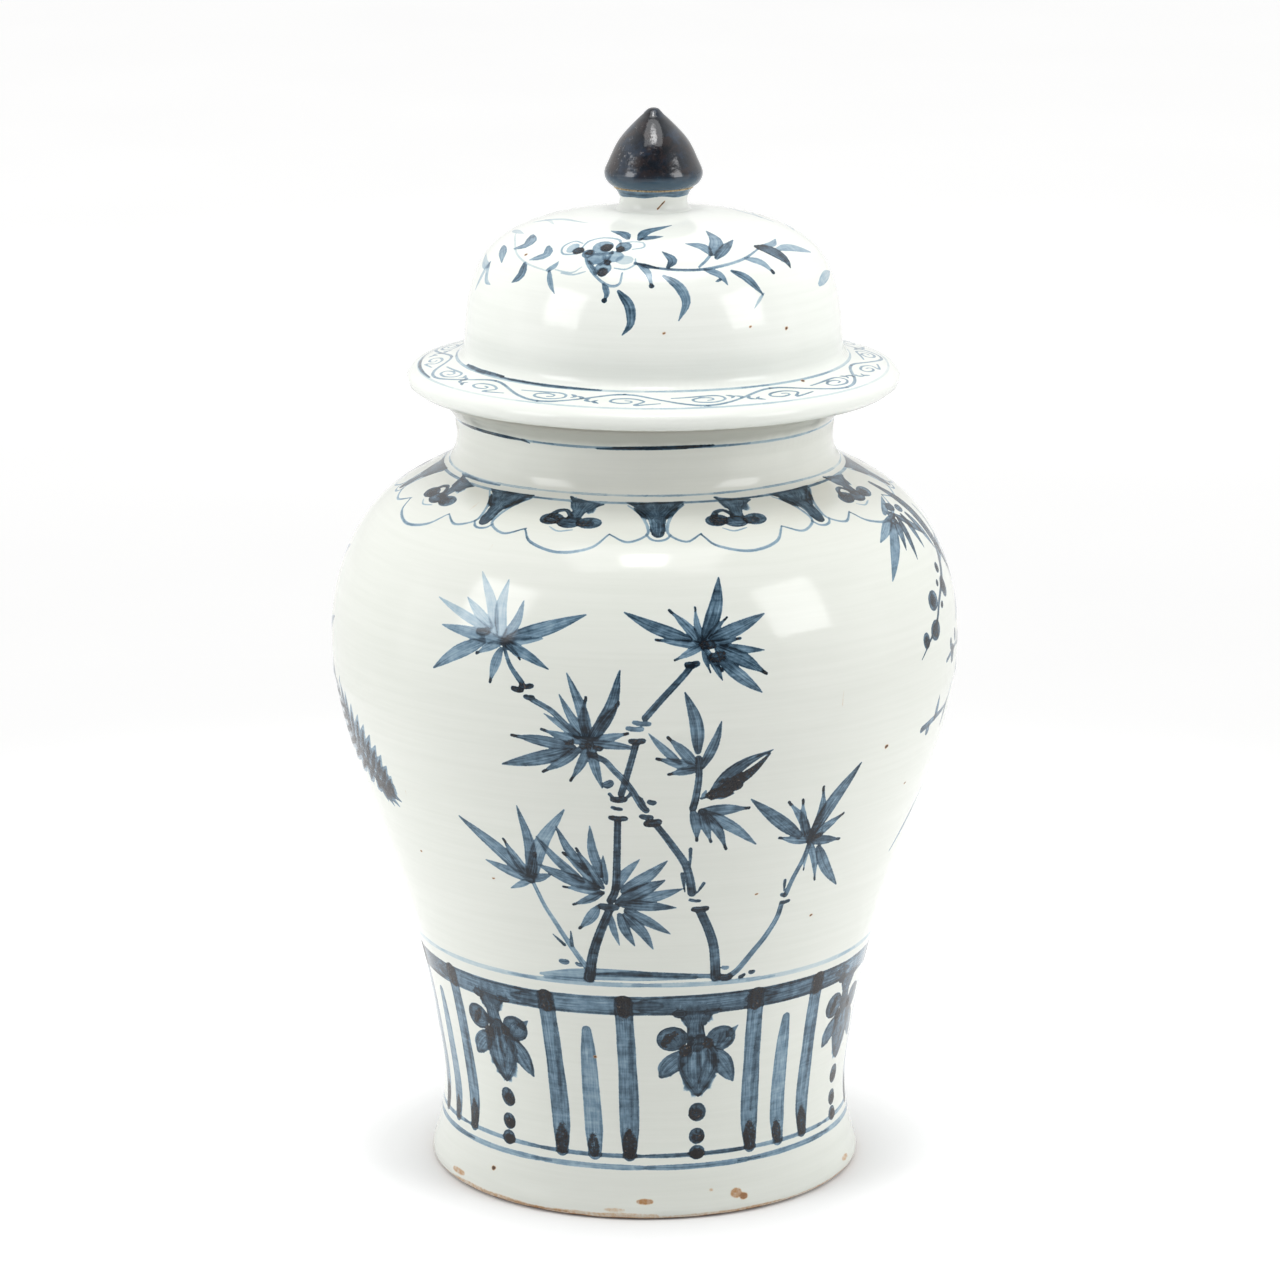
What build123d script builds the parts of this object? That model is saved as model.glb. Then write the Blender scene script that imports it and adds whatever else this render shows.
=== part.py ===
from build123d import *
import os

# Ginger jar with a loose domed lid, all glazed stoneware.
# Millimetres, +Z up. The origin is the centre of the foot's resting face, on the jar's axis.
# Every piece is turned on a wheel, so each one is an outline of (radius, height) points
# revolved about the axis.

# Driving dimensions
WALL = 9.0              # thickness of the jar's thrown wall
LID_WALL = 8.0          # thickness of the lid's dome
FOOT_RECESS = 3.5       # how far the underside is cut back inside the foot ring
FLOOR_HEIGHT = 14.0     # inside floor of the jar
LUTING_HEIGHT = 245.0   # where the two thrown halves of the body are joined
NECK_BASE = 342.3       # where the neck collar sits on the shoulder
NECK_TOP = 377.0        # the rim that the lid rests on
BORE_RADIUS = 80.0      # inside of the neck
SEAT_GAP = 0.3          # between the rim and the lid
LID_BASE = NECK_TOP + SEAT_GAP
LID_OFF_CENTRE = 4.0    # the loose lid sits this far to +X of the jar's axis
RING_OUTER = 75.2       # locating ring under the lid
RING_INNER = 68.2
RING_DEPTH = 19.0
STEM_BASE = 461.0       # the finial's stem stands on a flat on top of the dome
STEM_RADIUS = 17.8
BREAK_HEIGHT = 471.2    # the finial has been broken off here and glued back
GLUE_THICKNESS = 0.8
BREAK_RADIUS = 18.6
TIP_HEIGHT = 508.0

# Outside of the body, from the foot's widest point up to the neck
BODY_OUTLINE = [
    (103.0, 4.0),
    (99.8, 16.0),
    (97.4, 36.0),
    (99.9, 62.0),
    (106.8, 100.0),
    (119.7, 145.0),
    (136.4, 195.0),
    (147.5, 240.0),
    (148.5, 268.0),
    (144.6, 289.0),
    (137.6, 306.0),
    (127.9, 320.0),
    (114.5, 330.8),
    (103.0, 337.2),
    (93.3, NECK_BASE),
]

# Outside of the neck, from the shoulder up to the lip under the lid
NECK_OUTLINE = [
    (93.3, NECK_BASE),
    (89.5, 347.5),
    (88.4, 356.0),
    (89.0, 363.5),
    (92.0, 368.5),
    (97.6, 373.5),
]

# Top of the lid, from the outer line on the flange up to the flat that the stem stands on
DOME_OUTLINE = [
    (109.7, 387.6),
    (95.5, 390.8),
    (90.2, 393.5),
    (88.6, 401.0),
    (87.5, 416.0),
    (83.9, 430.0),
    (78.0, 441.0),
    (68.8, 448.5),
    (57.0, 453.9),
    (40.0, 458.0),
    (25.0, 460.1),
    (STEM_RADIUS, STEM_BASE),
]

# Side of the finial's bud, from the break up to where its rounded tip begins
BUD_OUTLINE = [
    (19.2, BREAK_HEIGHT + GLUE_THICKNESS),
    (22.2, 475.0),
    (22.9, 478.0),
    (21.6, 482.0),
    (19.8, 486.0),
    (17.9, 490.0),
    (15.5, 494.0),
    (12.3, 498.0),
    (8.6, 502.0),
    (5.2, 505.2),
]


def at(radius, height):
    """A point of an outline, which lies in the XZ plane."""
    return Vector(radius, 0, height)


def curve(points, start=None, end=None):
    """A smooth curve through (radius, height) points, with its two end directions if given."""
    vectors = [at(*point) for point in points]
    if start is None:
        return Spline(vectors)
    return Spline(vectors, tangents=[at(*start), at(*end)])


def lines(*points):
    """Straight runs from each (radius, height) point to the next."""
    vectors = [at(*point) for point in points]
    return [Line(a, b) for a, b in zip(vectors, vectors[1:])]


def inside_of(outline, wall, first, last, count):
    """Points one wall thickness inside an outline that runs upwards, between two parameters."""
    points = []
    for step in range(count):
        place = first + (last - first) * step / (count - 1)
        point = outline @ place
        along = outline % place
        points.append((point.X - along.Z * wall, point.Z + along.X * wall))
    return points


def turned(*edges):
    """The solid that a closed outline makes when it is revolved about the axis."""
    flat = []
    for edge in edges:
        flat += edge if isinstance(edge, list) else [edge]
    face = make_face(Wire(flat))
    return revolve(face, Axis.Z, 360)


def body_shell():
    """Foot, wall and shoulder in one, before the luting seam divides them."""
    outside = curve(BODY_OUTLINE)
    foot_edge = ThreePointArc(at(99.8, 0), at(102.3, 1.4), at(*BODY_OUTLINE[0]))
    wall_points = inside_of(outside, WALL, 0.10, 0.92, 14)
    floor_edge = (74.0, FLOOR_HEIGHT)
    bore_edge = (BORE_RADIUS, NECK_BASE - WALL + 3.0)
    inside = curve([floor_edge] + wall_points + [bore_edge])
    return turned(
        foot_edge,
        outside,
        lines(BODY_OUTLINE[-1], (BORE_RADIUS, NECK_BASE), bore_edge),
        inside,
        lines(
            floor_edge,
            (0, FLOOR_HEIGHT),
            (0, FOOT_RECESS),
            (86.0, FOOT_RECESS),
            (89.0, 0),
            (99.8, 0),
        ),
    )


def neck_collar():
    outside = curve(NECK_OUTLINE)
    lip_edge = (96.0, NECK_TOP)
    bore_edge = (82.5, NECK_TOP)
    bore_top = (BORE_RADIUS, NECK_TOP - 3.0)
    return turned(
        outside,
        TangentArc(at(*lip_edge), at(*NECK_OUTLINE[-1]), tangent=at(1, 0)),
        lines(lip_edge, bore_edge),
        TangentArc(at(*bore_edge), at(*bore_top), tangent=at(-1, 0)),
        lines(bore_top, (BORE_RADIUS, NECK_BASE), NECK_OUTLINE[0]),
    )


def lid_shell():
    """Dome and flange, open underneath. The inside narrows to the locating ring's bore."""
    outside = curve(DOME_OUTLINE)
    rim = curve(
        [(107.5, LID_BASE), (113.6, 379.2), (115.5, 383.0), (113.6, 386.2), DOME_OUTLINE[0]],
        start=(1, 0),
        end=(-1, 0.22),
    )
    ceiling_height = STEM_BASE - LID_WALL - 1.5
    inside_points = inside_of(outside, LID_WALL, 0.30, 0.86, 8)
    ceiling = curve(
        [(RING_INNER, LID_BASE), (73.0, 385.0)] + inside_points + [(0, ceiling_height)],
        start=(0, 1),
        end=(-1, 0),
    )
    return turned(
        rim,
        outside,
        lines(DOME_OUTLINE[-1], (0, STEM_BASE), (0, ceiling_height)),
        ceiling,
        lines((RING_INNER, LID_BASE), (107.5, LID_BASE)),
    )


def locating_ring():
    """Short collar luted under the lid, which keeps it on the neck."""
    low = LID_BASE - RING_DEPTH
    middle = (RING_OUTER + RING_INNER) / 2
    bottom = ThreePointArc(at(RING_INNER, low + 2.5), at(middle, low), at(RING_OUTER, low + 2.5))
    return turned(
        bottom,
        lines(
            (RING_OUTER, low + 2.5),
            (RING_OUTER, LID_BASE),
            (RING_INNER, LID_BASE),
            (RING_INNER, low + 2.5),
        ),
    )


def finial_stem():
    side = curve([(STEM_RADIUS, STEM_BASE), (15.9, 464.2), (16.5, 468.4), (BREAK_RADIUS, BREAK_HEIGHT)])
    return turned(
        side,
        lines(
            (BREAK_RADIUS, BREAK_HEIGHT),
            (0, BREAK_HEIGHT),
            (0, STEM_BASE),
            (STEM_RADIUS, STEM_BASE),
        ),
    )


def finial_glue():
    top = BREAK_HEIGHT + GLUE_THICKNESS
    return turned(
        lines(
            (0, BREAK_HEIGHT),
            (BREAK_RADIUS, BREAK_HEIGHT),
            (BREAK_RADIUS, top),
            (0, top),
            (0, BREAK_HEIGHT),
        ),
    )


def finial_bud():
    side = curve(BUD_OUTLINE)
    tip = TangentArc(at(0, TIP_HEIGHT), at(*BUD_OUTLINE[-1]), tangent=at(1, 0))
    base = BREAK_HEIGHT + GLUE_THICKNESS
    return turned(side, tip, lines((0, TIP_HEIGHT), (0, base), BUD_OUTLINE[0]))


body = body_shell()
seam = Plane.XY.offset(LUTING_HEIGHT)
jar_nodes = {
    "lower_body": split(body, bisect_by=seam, keep=Keep.BOTTOM),
    "upper_body": split(body, bisect_by=seam, keep=Keep.TOP),
    "neck_collar": neck_collar(),
}
lid_nodes = {
    "lid_shell": lid_shell(),
    "lid_locating_ring": locating_ring(),
    "finial_stem": finial_stem(),
    "finial_glue": finial_glue(),
    "finial_bud": finial_bud(),
}

os.makedirs("parts", exist_ok=True)
for name, solid in jar_nodes.items():
    export_step(solid, f"parts/{name}.step")
for name, solid in lid_nodes.items():
    export_step(Pos(LID_OFF_CENTRE, 0, 0) * solid, f"parts/{name}.step")
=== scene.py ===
import math

import bpy
import numpy as np
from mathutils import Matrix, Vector
from mathutils.geometry import delaunay_2d_cdt


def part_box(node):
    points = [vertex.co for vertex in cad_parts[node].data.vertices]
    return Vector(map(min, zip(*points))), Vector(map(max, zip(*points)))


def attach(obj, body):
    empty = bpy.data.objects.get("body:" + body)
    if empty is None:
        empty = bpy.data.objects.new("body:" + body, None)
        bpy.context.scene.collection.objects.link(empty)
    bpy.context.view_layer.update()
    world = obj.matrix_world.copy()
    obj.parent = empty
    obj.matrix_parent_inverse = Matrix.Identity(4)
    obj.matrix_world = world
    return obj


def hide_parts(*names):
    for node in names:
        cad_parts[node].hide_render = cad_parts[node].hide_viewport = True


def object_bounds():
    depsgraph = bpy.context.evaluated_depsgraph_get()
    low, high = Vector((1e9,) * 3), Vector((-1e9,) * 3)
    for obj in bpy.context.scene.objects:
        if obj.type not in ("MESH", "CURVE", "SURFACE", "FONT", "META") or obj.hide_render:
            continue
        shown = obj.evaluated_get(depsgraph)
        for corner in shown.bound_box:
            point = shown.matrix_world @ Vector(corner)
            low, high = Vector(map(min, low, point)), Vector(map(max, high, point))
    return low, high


# A blue and white ginger jar with a loose domed lid.
# The painting is laid out in millimetres on the turned outsides. A place there is
# (degrees round from the front, mm up the outline), and the outline's zero is the widest
# point of the foot on the jar and of the flange on the lid. Meshes are in metres.

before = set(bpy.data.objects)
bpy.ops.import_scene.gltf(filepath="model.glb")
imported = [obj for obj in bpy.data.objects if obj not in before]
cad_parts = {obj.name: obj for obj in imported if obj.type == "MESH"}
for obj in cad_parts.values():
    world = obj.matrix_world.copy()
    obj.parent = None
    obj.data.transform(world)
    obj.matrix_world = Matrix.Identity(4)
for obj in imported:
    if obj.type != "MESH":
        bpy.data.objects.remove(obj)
cad_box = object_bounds()

MM = 0.001
CLOSE = 1e-3          # points nearer than this count as one
GRID = 4.0            # spacing of the plain mesh between brush strokes
SOFT_EDGE = 0.9       # width of the blurred edge of a brush stroke
SEGMENTS = 120        # round the unpainted surfaces
FINE_SEGMENTS = 160   # round the finial's stump
CORNER = 28.0         # an outline turning by more than this many degrees has a sharp corner
FLAT = 2.0            # a level stretch longer than this is a flat face
LAYER_WIDTHS = {"paint": 3, "brush": 3, "stain": 1}   # what is stored on the painted skin
chance = np.random.default_rng(7)


# ---------------------------------------------------------------- outlines from the frame

def node_outline(node, axis_x):
    """The (radius, height) points of a turned node's outline in order, in mm."""
    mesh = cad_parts[node].data
    place = {}
    for vertex in mesh.vertices:
        x, y, z = (1000 * value for value in vertex.co)
        if abs(y) < 2 * CLOSE and x > axis_x - CLOSE:
            place[vertex.index] = (round(x - axis_x, 2), round(z, 2))
    exact = {}
    for index, key in place.items():
        x, _, z = (1000 * value for value in mesh.vertices[index].co)
        exact[key] = (max(0.0, x - axis_x), z)
    links = {key: set() for key in exact}
    for edge in mesh.edges:
        a, b = (place.get(index) for index in edge.vertices)
        if a and b and a != b:
            links[a].add(b)
            links[b].add(a)
    ends = [key for key in links if len(links[key]) == 1]
    here = min(ends or links)
    chain = [here]
    left = set(links) - {here}
    while True:
        near = [key for key in links[here] if key in left]
        if not near:
            break
        here = min(near, key=lambda key: math.dist(key, chain[-1]))
        chain.append(here)
        left.discard(here)
    points = [exact[key] for key in chain]
    if ends:
        # the flat faces at both ends run on to the axis
        points = [(0.0, points[0][1])] + points + [(0.0, points[-1][1])]
        points = [p for p, q in zip(points, [None] + points) if q is None or math.dist(p, q) > 10 * CLOSE]
    else:
        points.append(points[0])
    if sum((b[0] - a[0]) * (b[1] + a[1]) for a, b in zip(points, points[1:])) > 0:
        points.reverse()
    return points


class Run:
    """One smooth stretch of an outline: a natural cubic through its points, by distance along it."""

    def __init__(self, points):
        self.points = np.array(points, float)
        steps = np.linalg.norm(np.diff(self.points, axis=0), axis=1)
        self.at = np.concatenate([[0.0], np.cumsum(steps)])
        self.length = self.at[-1]
        count = len(self.points)
        matrix = np.eye(count)
        target = np.zeros((count, 2))
        for i in range(1, count - 1):
            matrix[i, i - 1:i + 2] = steps[i - 1], 2 * (steps[i - 1] + steps[i]), steps[i]
            rise = (self.points[i + 1] - self.points[i]) / steps[i]
            fall = (self.points[i] - self.points[i - 1]) / steps[i - 1]
            target[i] = 6 * (rise - fall)
        self.bend = np.linalg.solve(matrix, target)

    def place(self, along):
        along = np.clip(along, 0.0, self.length)
        i = np.clip(np.searchsorted(self.at, along, side="right") - 1, 0, len(self.at) - 2)
        step = self.at[i + 1] - self.at[i]
        b = (along - self.at[i]) / step
        a = 1 - b
        a, b, step = a[..., None], b[..., None], step[..., None]
        curved = (a**3 - a) * self.bend[i] + (b**3 - b) * self.bend[i + 1]
        return a * self.points[i] + b * self.points[i + 1] + curved * step**2 / 6

    def slope(self, along):
        """The outline's unit direction."""
        reach = 0.1
        low = np.clip(np.asarray(along) - reach / 2, 0.0, self.length - reach)
        step = self.place(low + reach) - self.place(low)
        return step / np.linalg.norm(step, axis=-1, keepdims=True)


def smooth_runs(points):
    """An outline cut at its sharp corners."""
    cuts = [0]
    for i in range(1, len(points) - 1):
        before = np.subtract(points[i], points[i - 1])
        after = np.subtract(points[i + 1], points[i])
        cosine = before @ after / np.linalg.norm(before) / np.linalg.norm(after)
        turn = np.degrees(np.arccos(np.clip(cosine, -1, 1)))
        flat = [abs(step[1]) < CLOSE and abs(step[0]) > FLAT for step in (before, after)]
        if turn > CORNER or flat[0] != flat[1]:
            cuts.append(i)
    cuts.append(len(points) - 1)
    return [Run(points[a:b + 1]) for a, b in zip(cuts, cuts[1:])]


# ---------------------------------------------------------------- meshes of revolution

class Piece:
    """Collects turned patches and makes one closed object of them."""

    def __init__(self, name, axis_x):
        self.name = name
        self.axis_x = axis_x
        self.points = []
        self.faces = []
        self.normals = []
        self.finish = []
        self.layers = {}
        self.count = 0

    def add(self, points, normals, faces, finish=0, layers=None):
        """A patch: vertices, one normal for each, and faces; its finish is a material number."""
        self.points.append(points)
        for face in faces:
            self.faces.append([self.count + i for i in face])
            self.normals.extend(normals[i] for i in face)
            self.finish.append(finish)
        for key, width in LAYER_WIDTHS.items():
            empty = np.zeros((len(points), width))
            self.layers.setdefault(key, []).append(layers[key] if layers else empty)
        self.count += len(points)

    def build(self, materials):
        points = np.concatenate(self.points)
        _, first, same = np.unique(np.round(points, 6), axis=0, return_index=True, return_inverse=True)
        same = same.ravel()
        faces = []
        corners = []
        finish = []
        at = 0
        for face, kind in zip(self.faces, self.finish):
            merged = [int(same[i]) for i in face]
            if len(set(merged)) == len(merged):
                faces.append(merged)
                corners.extend(self.normals[at:at + len(face)])
                finish.append(kind)
            at += len(face)
        mesh = bpy.data.meshes.new(self.name)
        mesh.from_pydata((points[first] * MM).tolist(), [], faces)
        for key, width in LAYER_WIDTHS.items():
            kind, field = ("FLOAT_VECTOR", "vector") if width == 3 else ("FLOAT", "value")
            layer = mesh.attributes.new(key, kind, "POINT")
            values = np.concatenate(self.layers[key])[first]
            layer.data.foreach_set(field, values.astype(np.float32).ravel())
        for material in materials:
            mesh.materials.append(material)
        mesh.polygons.foreach_set("material_index", finish)
        mesh.polygons.foreach_set("use_smooth", [True] * len(faces))
        mesh.normals_split_custom_set([tuple(normal) for normal in corners])
        piece = bpy.data.objects.new(self.name, mesh)
        bpy.context.scene.collection.objects.link(piece)
        return piece


def turned(run, axis_x, degrees, along, shape=None):
    """Vertices and normals on a run, at angles and distances along it.

    shape(degrees, height) is how far the thrower's hand pushed the wall out there."""
    angle = np.radians(degrees)
    radius, height = run.place(along).T
    rise_out, rise_up = run.slope(along).T
    push = round_push = up_push = np.zeros(len(angle))
    if shape is not None:
        step = 0.4   # degrees or mm
        push = shape(degrees, height)
        round_push = (shape(degrees + step, height) - shape(degrees - step, height)) / np.radians(2 * step)
        up_push = (shape(degrees, height + step) - shape(degrees, height - step)) / (2 * step)
    out = np.column_stack([np.sin(angle), -np.cos(angle), np.zeros(len(angle))])
    turn = np.column_stack([np.cos(angle), np.sin(angle), np.zeros(len(angle))])
    points = out * (radius + push)[:, None]
    points[:, 0] += axis_x
    points[:, 2] = height
    normals = out * rise_up[:, None]
    normals -= turn * (round_push * rise_up / np.maximum(radius, 1.0))[:, None]
    normals[:, 2] = -(rise_out + up_push * rise_up)
    normals /= np.linalg.norm(normals, axis=1, keepdims=True)
    return points, normals


def bridge(lower, upper):
    """Triangles between two rings, each a list of (degrees, vertex) in order of angle."""
    faces = []
    i = j = 0
    n, m = len(lower), len(upper)
    while i < n or j < m:
        low_next = lower[(i + 1) % n][0] + 360 * ((i + 1) // n) if i < n else math.inf
        up_next = upper[(j + 1) % m][0] + 360 * ((j + 1) // m) if j < m else math.inf
        if low_next <= up_next:
            faces.append((lower[i % n][1], lower[(i + 1) % n][1], upper[j % m][1]))
            i += 1
        else:
            faces.append((lower[i % n][1], upper[(j + 1) % m][1], upper[j % m][1]))
            j += 1
    return faces


def lathe(piece, run, finish=0, first=None, last=None, segments=SEGMENTS, rows=None, shape=None,
          painter=None):
    """Turns a run. Its first or last ring takes the angles given for it, to match its neighbour.

    painter(degrees, along) gives the layers of its paint, if it has any."""
    plain = np.linspace(-180, 180, segments, endpoint=False)
    places = run.at if rows is None else np.linspace(0, run.length, rows)
    rings = []
    for k, along in enumerate(places):
        angles = plain
        if k == 0 and first is not None:
            angles = first
        if k == len(places) - 1 and last is not None:
            angles = last
        if run.place(np.array([along]))[0, 0] < CLOSE:
            angles = np.array([0.0])
        rings.append((angles, along))
    degrees = np.concatenate([angles for angles, _ in rings])
    along = np.concatenate([np.full(len(angles), place) for angles, place in rings])
    points, normals = turned(run, piece.axis_x, degrees, along, shape)
    faces = []
    start = 0
    for (below, _), (above, _) in zip(rings, rings[1:]):
        middle = start + len(below)
        low = range(start, middle)
        high = range(middle, middle + len(above))
        if len(below) == len(above) and len(below) > 1 and np.array_equal(below, above):
            turn = len(below)
            faces += [(low[i], low[(i + 1) % turn], high[(i + 1) % turn], high[i]) for i in range(turn)]
        else:
            faces += bridge(list(zip(below, low)), list(zip(above, high)))
        start = middle
    layers = painter(degrees, along) if painter else None
    piece.add(points, normals, faces, finish, layers)


# ---------------------------------------------------------------- brush strokes

class Stroke:
    """A brush stroke along a smooth line through (degrees, mm) points.

    widths are in mm and shades multiply its tone, both spread evenly from its start to its end.
    tone is the strength of the blue, burn how far it has turned rusty black, and layer is paint or
    stain. A blunt stroke starts with a straight edge, where it hangs from a band. An oval stroke is
    a dab: its degrees across, mm tall and mm of lean."""

    def __init__(self, points, widths, tone, burn=0.0, layer="paint", shades=(1.0,), blunt=False):
        self.points = np.array(points, float)
        self.widths = np.array(widths, float)
        self.tone = tone
        self.burn = burn
        self.layer = layer
        self.shades = np.array(shades, float)
        self.blunt = blunt
        self.oval = None
        self.laid_out = None   # what lay_out gives for it, once the skin is cut


class Outside:
    """The painted outside of the jar or lid: runs laid end to end, with their strokes."""

    def __init__(self, runs, rim):
        """The outline's zero is the widest place on the first rim mm of the lowest run."""
        self.runs = runs
        self.ends = np.cumsum([0.0] + [run.length for run in runs])
        low = np.linspace(0, rim, 400)
        self.zero = low[np.argmax(runs[0].place(low)[:, 0])]
        self.low = -self.zero
        self.high = self.ends[-1] - self.zero
        self.strokes = []
        self.fine = np.linspace(self.low, self.high, 2000)
        self.fine_radius = np.array([self.radius_at(v) for v in self.fine])

    def radius_at(self, v):
        along = v + self.zero
        k = min(int(np.searchsorted(self.ends, along, side="right")) - 1, len(self.runs) - 1)
        return float(self.runs[k].place(np.array([along - self.ends[k]]))[0, 0])

    def mm_per_degree(self, v):
        smallest = 4.0   # mm of radius, so that strokes near the axis stay of a sensible width
        return np.maximum(np.interp(v, self.fine, self.fine_radius), smallest) * math.pi / 180


def smooth_line(points, step):
    """A Catmull-Rom curve through flat points, sampled about every step, and its place along (0 to 1)."""
    if len(points) == 2:
        ends = points[0], points[1]
        count = max(2, int(np.linalg.norm(ends[1] - ends[0]) / step) + 2)
        share = np.linspace(0, 1, count)
        return ends[0] + (ends[1] - ends[0]) * share[:, None], share
    padded = np.vstack([2 * points[0] - points[1], points, 2 * points[-1] - points[-2]])
    out = []
    for i in range(1, len(padded) - 2):
        a, b, c, d = padded[i - 1:i + 3]
        count = max(2, int(np.linalg.norm(c - b) / step) + 1)
        t = np.linspace(0, 1, count, endpoint=False)[:, None]
        out.append(0.5 * (2 * b + (c - a) * t + (2 * a - 5 * b + 4 * c - d) * t**2
                          + (3 * b - a - 3 * c + d) * t**3))
    out.append(points[-1:])
    line = np.vstack(out)
    run = np.concatenate([[0], np.cumsum(np.linalg.norm(np.diff(line, axis=0), axis=1))])
    return line, run / run[-1]


def lay_out(outside, stroke):
    """Works out a stroke's centre line and half widths in flat mm about its own middle angle."""
    middle = stroke.points[:, 0].mean()
    if stroke.oval is not None:
        across, up, tilt = stroke.oval
        wide = across * float(outside.mm_per_degree(stroke.points[0, 1]))
        turn = math.atan2(2 * tilt, wide) + (0 if wide > up else math.pi / 2)
        short, long = sorted((wide, up))
        share = np.linspace(0, 1, 7)
        reach = (share - 0.5) * (long - short + 0.4)
        line = np.array([0, stroke.points[0, 1]]) + reach[:, None] * [math.cos(turn), math.sin(turn)]
        narrowing = 0.3 * min(1, long / short - 1)
        return middle, line, share, short / 2 * (1 - narrowing * (2 * share - 1)**2)
    flat = np.column_stack([
        (stroke.points[:, 0] - middle) * outside.mm_per_degree(stroke.points[:, 1]), stroke.points[:, 1]])
    widest = stroke.widths.max()
    line, share = smooth_line(flat, min(2.5, max(0.9, widest * 0.5)))
    half = 0.5 * np.interp(share, np.linspace(0, 1, len(stroke.widths)), stroke.widths)
    return middle, line, share, half


def outline_of(line, half, grow, blunt):
    """The closed outline round a centre line, grown by some mm; a bare line where nothing is left."""
    width = half + grow
    if width.max() < 0.2:
        return line, False
    width = np.maximum(width, 0.02)
    step = np.gradient(line, axis=0)
    step /= np.maximum(np.linalg.norm(step, axis=1, keepdims=True), 1e-9)
    side = np.column_stack([-step[:, 1], step[:, 0]])
    left = line + side * width[:, None]
    right = line - side * width[:, None]
    loops = [left]
    for end, sign, spot in ((-1, 1, line[-1]), (0, -1, line[0])):
        if width[end] > 0.35 and not (blunt and end == 0):
            turns = np.linspace(0, math.pi, 5 if width[end] < 2 else 8)[1:-1]
            ahead = step[end] * sign
            across = side[end] * sign
            cap = [spot + width[end] * (across * math.cos(t) + ahead * math.sin(t)) for t in turns]
            loops.append(np.array(cap))
        if end == -1:
            loops.append(right[::-1])
    return np.vstack(loops), True


def shade(outside, degrees, v):
    """The paint, brush and stain layers at places on the outside."""
    count = len(degrees)
    clear = np.ones(count)
    ink_left = np.ones(count)
    near_tone = np.zeros(count)
    burn = np.zeros(count)
    brush = np.zeros((count, 3))
    stain = np.zeros(count)
    for number, stroke in enumerate(outside.strokes):
        middle, line, share, half = stroke.laid_out
        reach = half.max() + 2.5
        x = (degrees - middle + 180) % 360 - 180
        x = x * outside.mm_per_degree(v)
        low, high = line.min(axis=0) - reach, line.max(axis=0) + reach
        near = np.nonzero((x > low[0]) & (x < high[0]) & (v > low[1]) & (v < high[1]))[0]
        if not len(near):
            continue
        spot = np.column_stack([x[near], v[near]])
        start, step = line[:-1], np.diff(line, axis=0)
        square = np.maximum((step**2).sum(axis=1), 1e-9)
        away = spot[:, None, :] - start[None]
        t = np.clip((away * step[None]).sum(axis=2) / square, 0, 1)
        gap = away - t[..., None] * step[None]
        distance = np.linalg.norm(gap, axis=2)
        wide = half[:-1] + t * np.diff(half)
        best = np.argmin(distance - wide, axis=1)
        row = np.arange(len(near))
        distance, wide, t = distance[row, best], wide[row, best], t[row, best]
        cover = np.clip(0.5 + (wide - distance) / SOFT_EDGE, 0, 1)
        if stroke.blunt:
            past = -(away[:, 0] @ step[0]) / math.sqrt(square[0])
            cover *= np.clip(1 - past / SOFT_EDGE, 0, 1)
        beyond = np.clip(1.2 + wide - distance, 0, 1)
        along = share[best] + t * np.diff(share)[best]
        tone = stroke.tone * np.interp(along, np.linspace(0, 1, len(stroke.shades)), stroke.shades)
        if stroke.layer == "stain":
            stain[near] = np.maximum(stain[near], cover * tone)
            continue
        sign = np.sign(step[best][:, 0] * gap[row, best][:, 1] - step[best][:, 1] * gap[row, best][:, 0])
        clear[near] *= 1 - cover
        ink_left[near] *= 1 - cover * tone
        near_tone[near] = np.maximum(near_tone[near], beyond * tone)
        burn[near] = np.maximum(burn[near], beyond * stroke.burn)
        top = near[(cover > 0.02) | (clear[near] > 0.98) & (beyond > 0)]
        pick = np.isin(near, top)
        length = np.linalg.norm(np.diff(line, axis=0), axis=1).sum()
        rim = np.clip(distance / np.maximum(wide, 0.3), 0, 1)
        brush[top] = np.column_stack([
            (sign * distance + 41.3 * number)[pick], (along * length)[pick], rim[pick]])
    covered = 1 - clear
    tone = np.where(covered > 0.02, (1 - ink_left) / np.maximum(covered, 0.02), near_tone)
    return {"paint": np.column_stack([covered, tone, burn]), "brush": brush, "stain": stain[:, None]}


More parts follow.
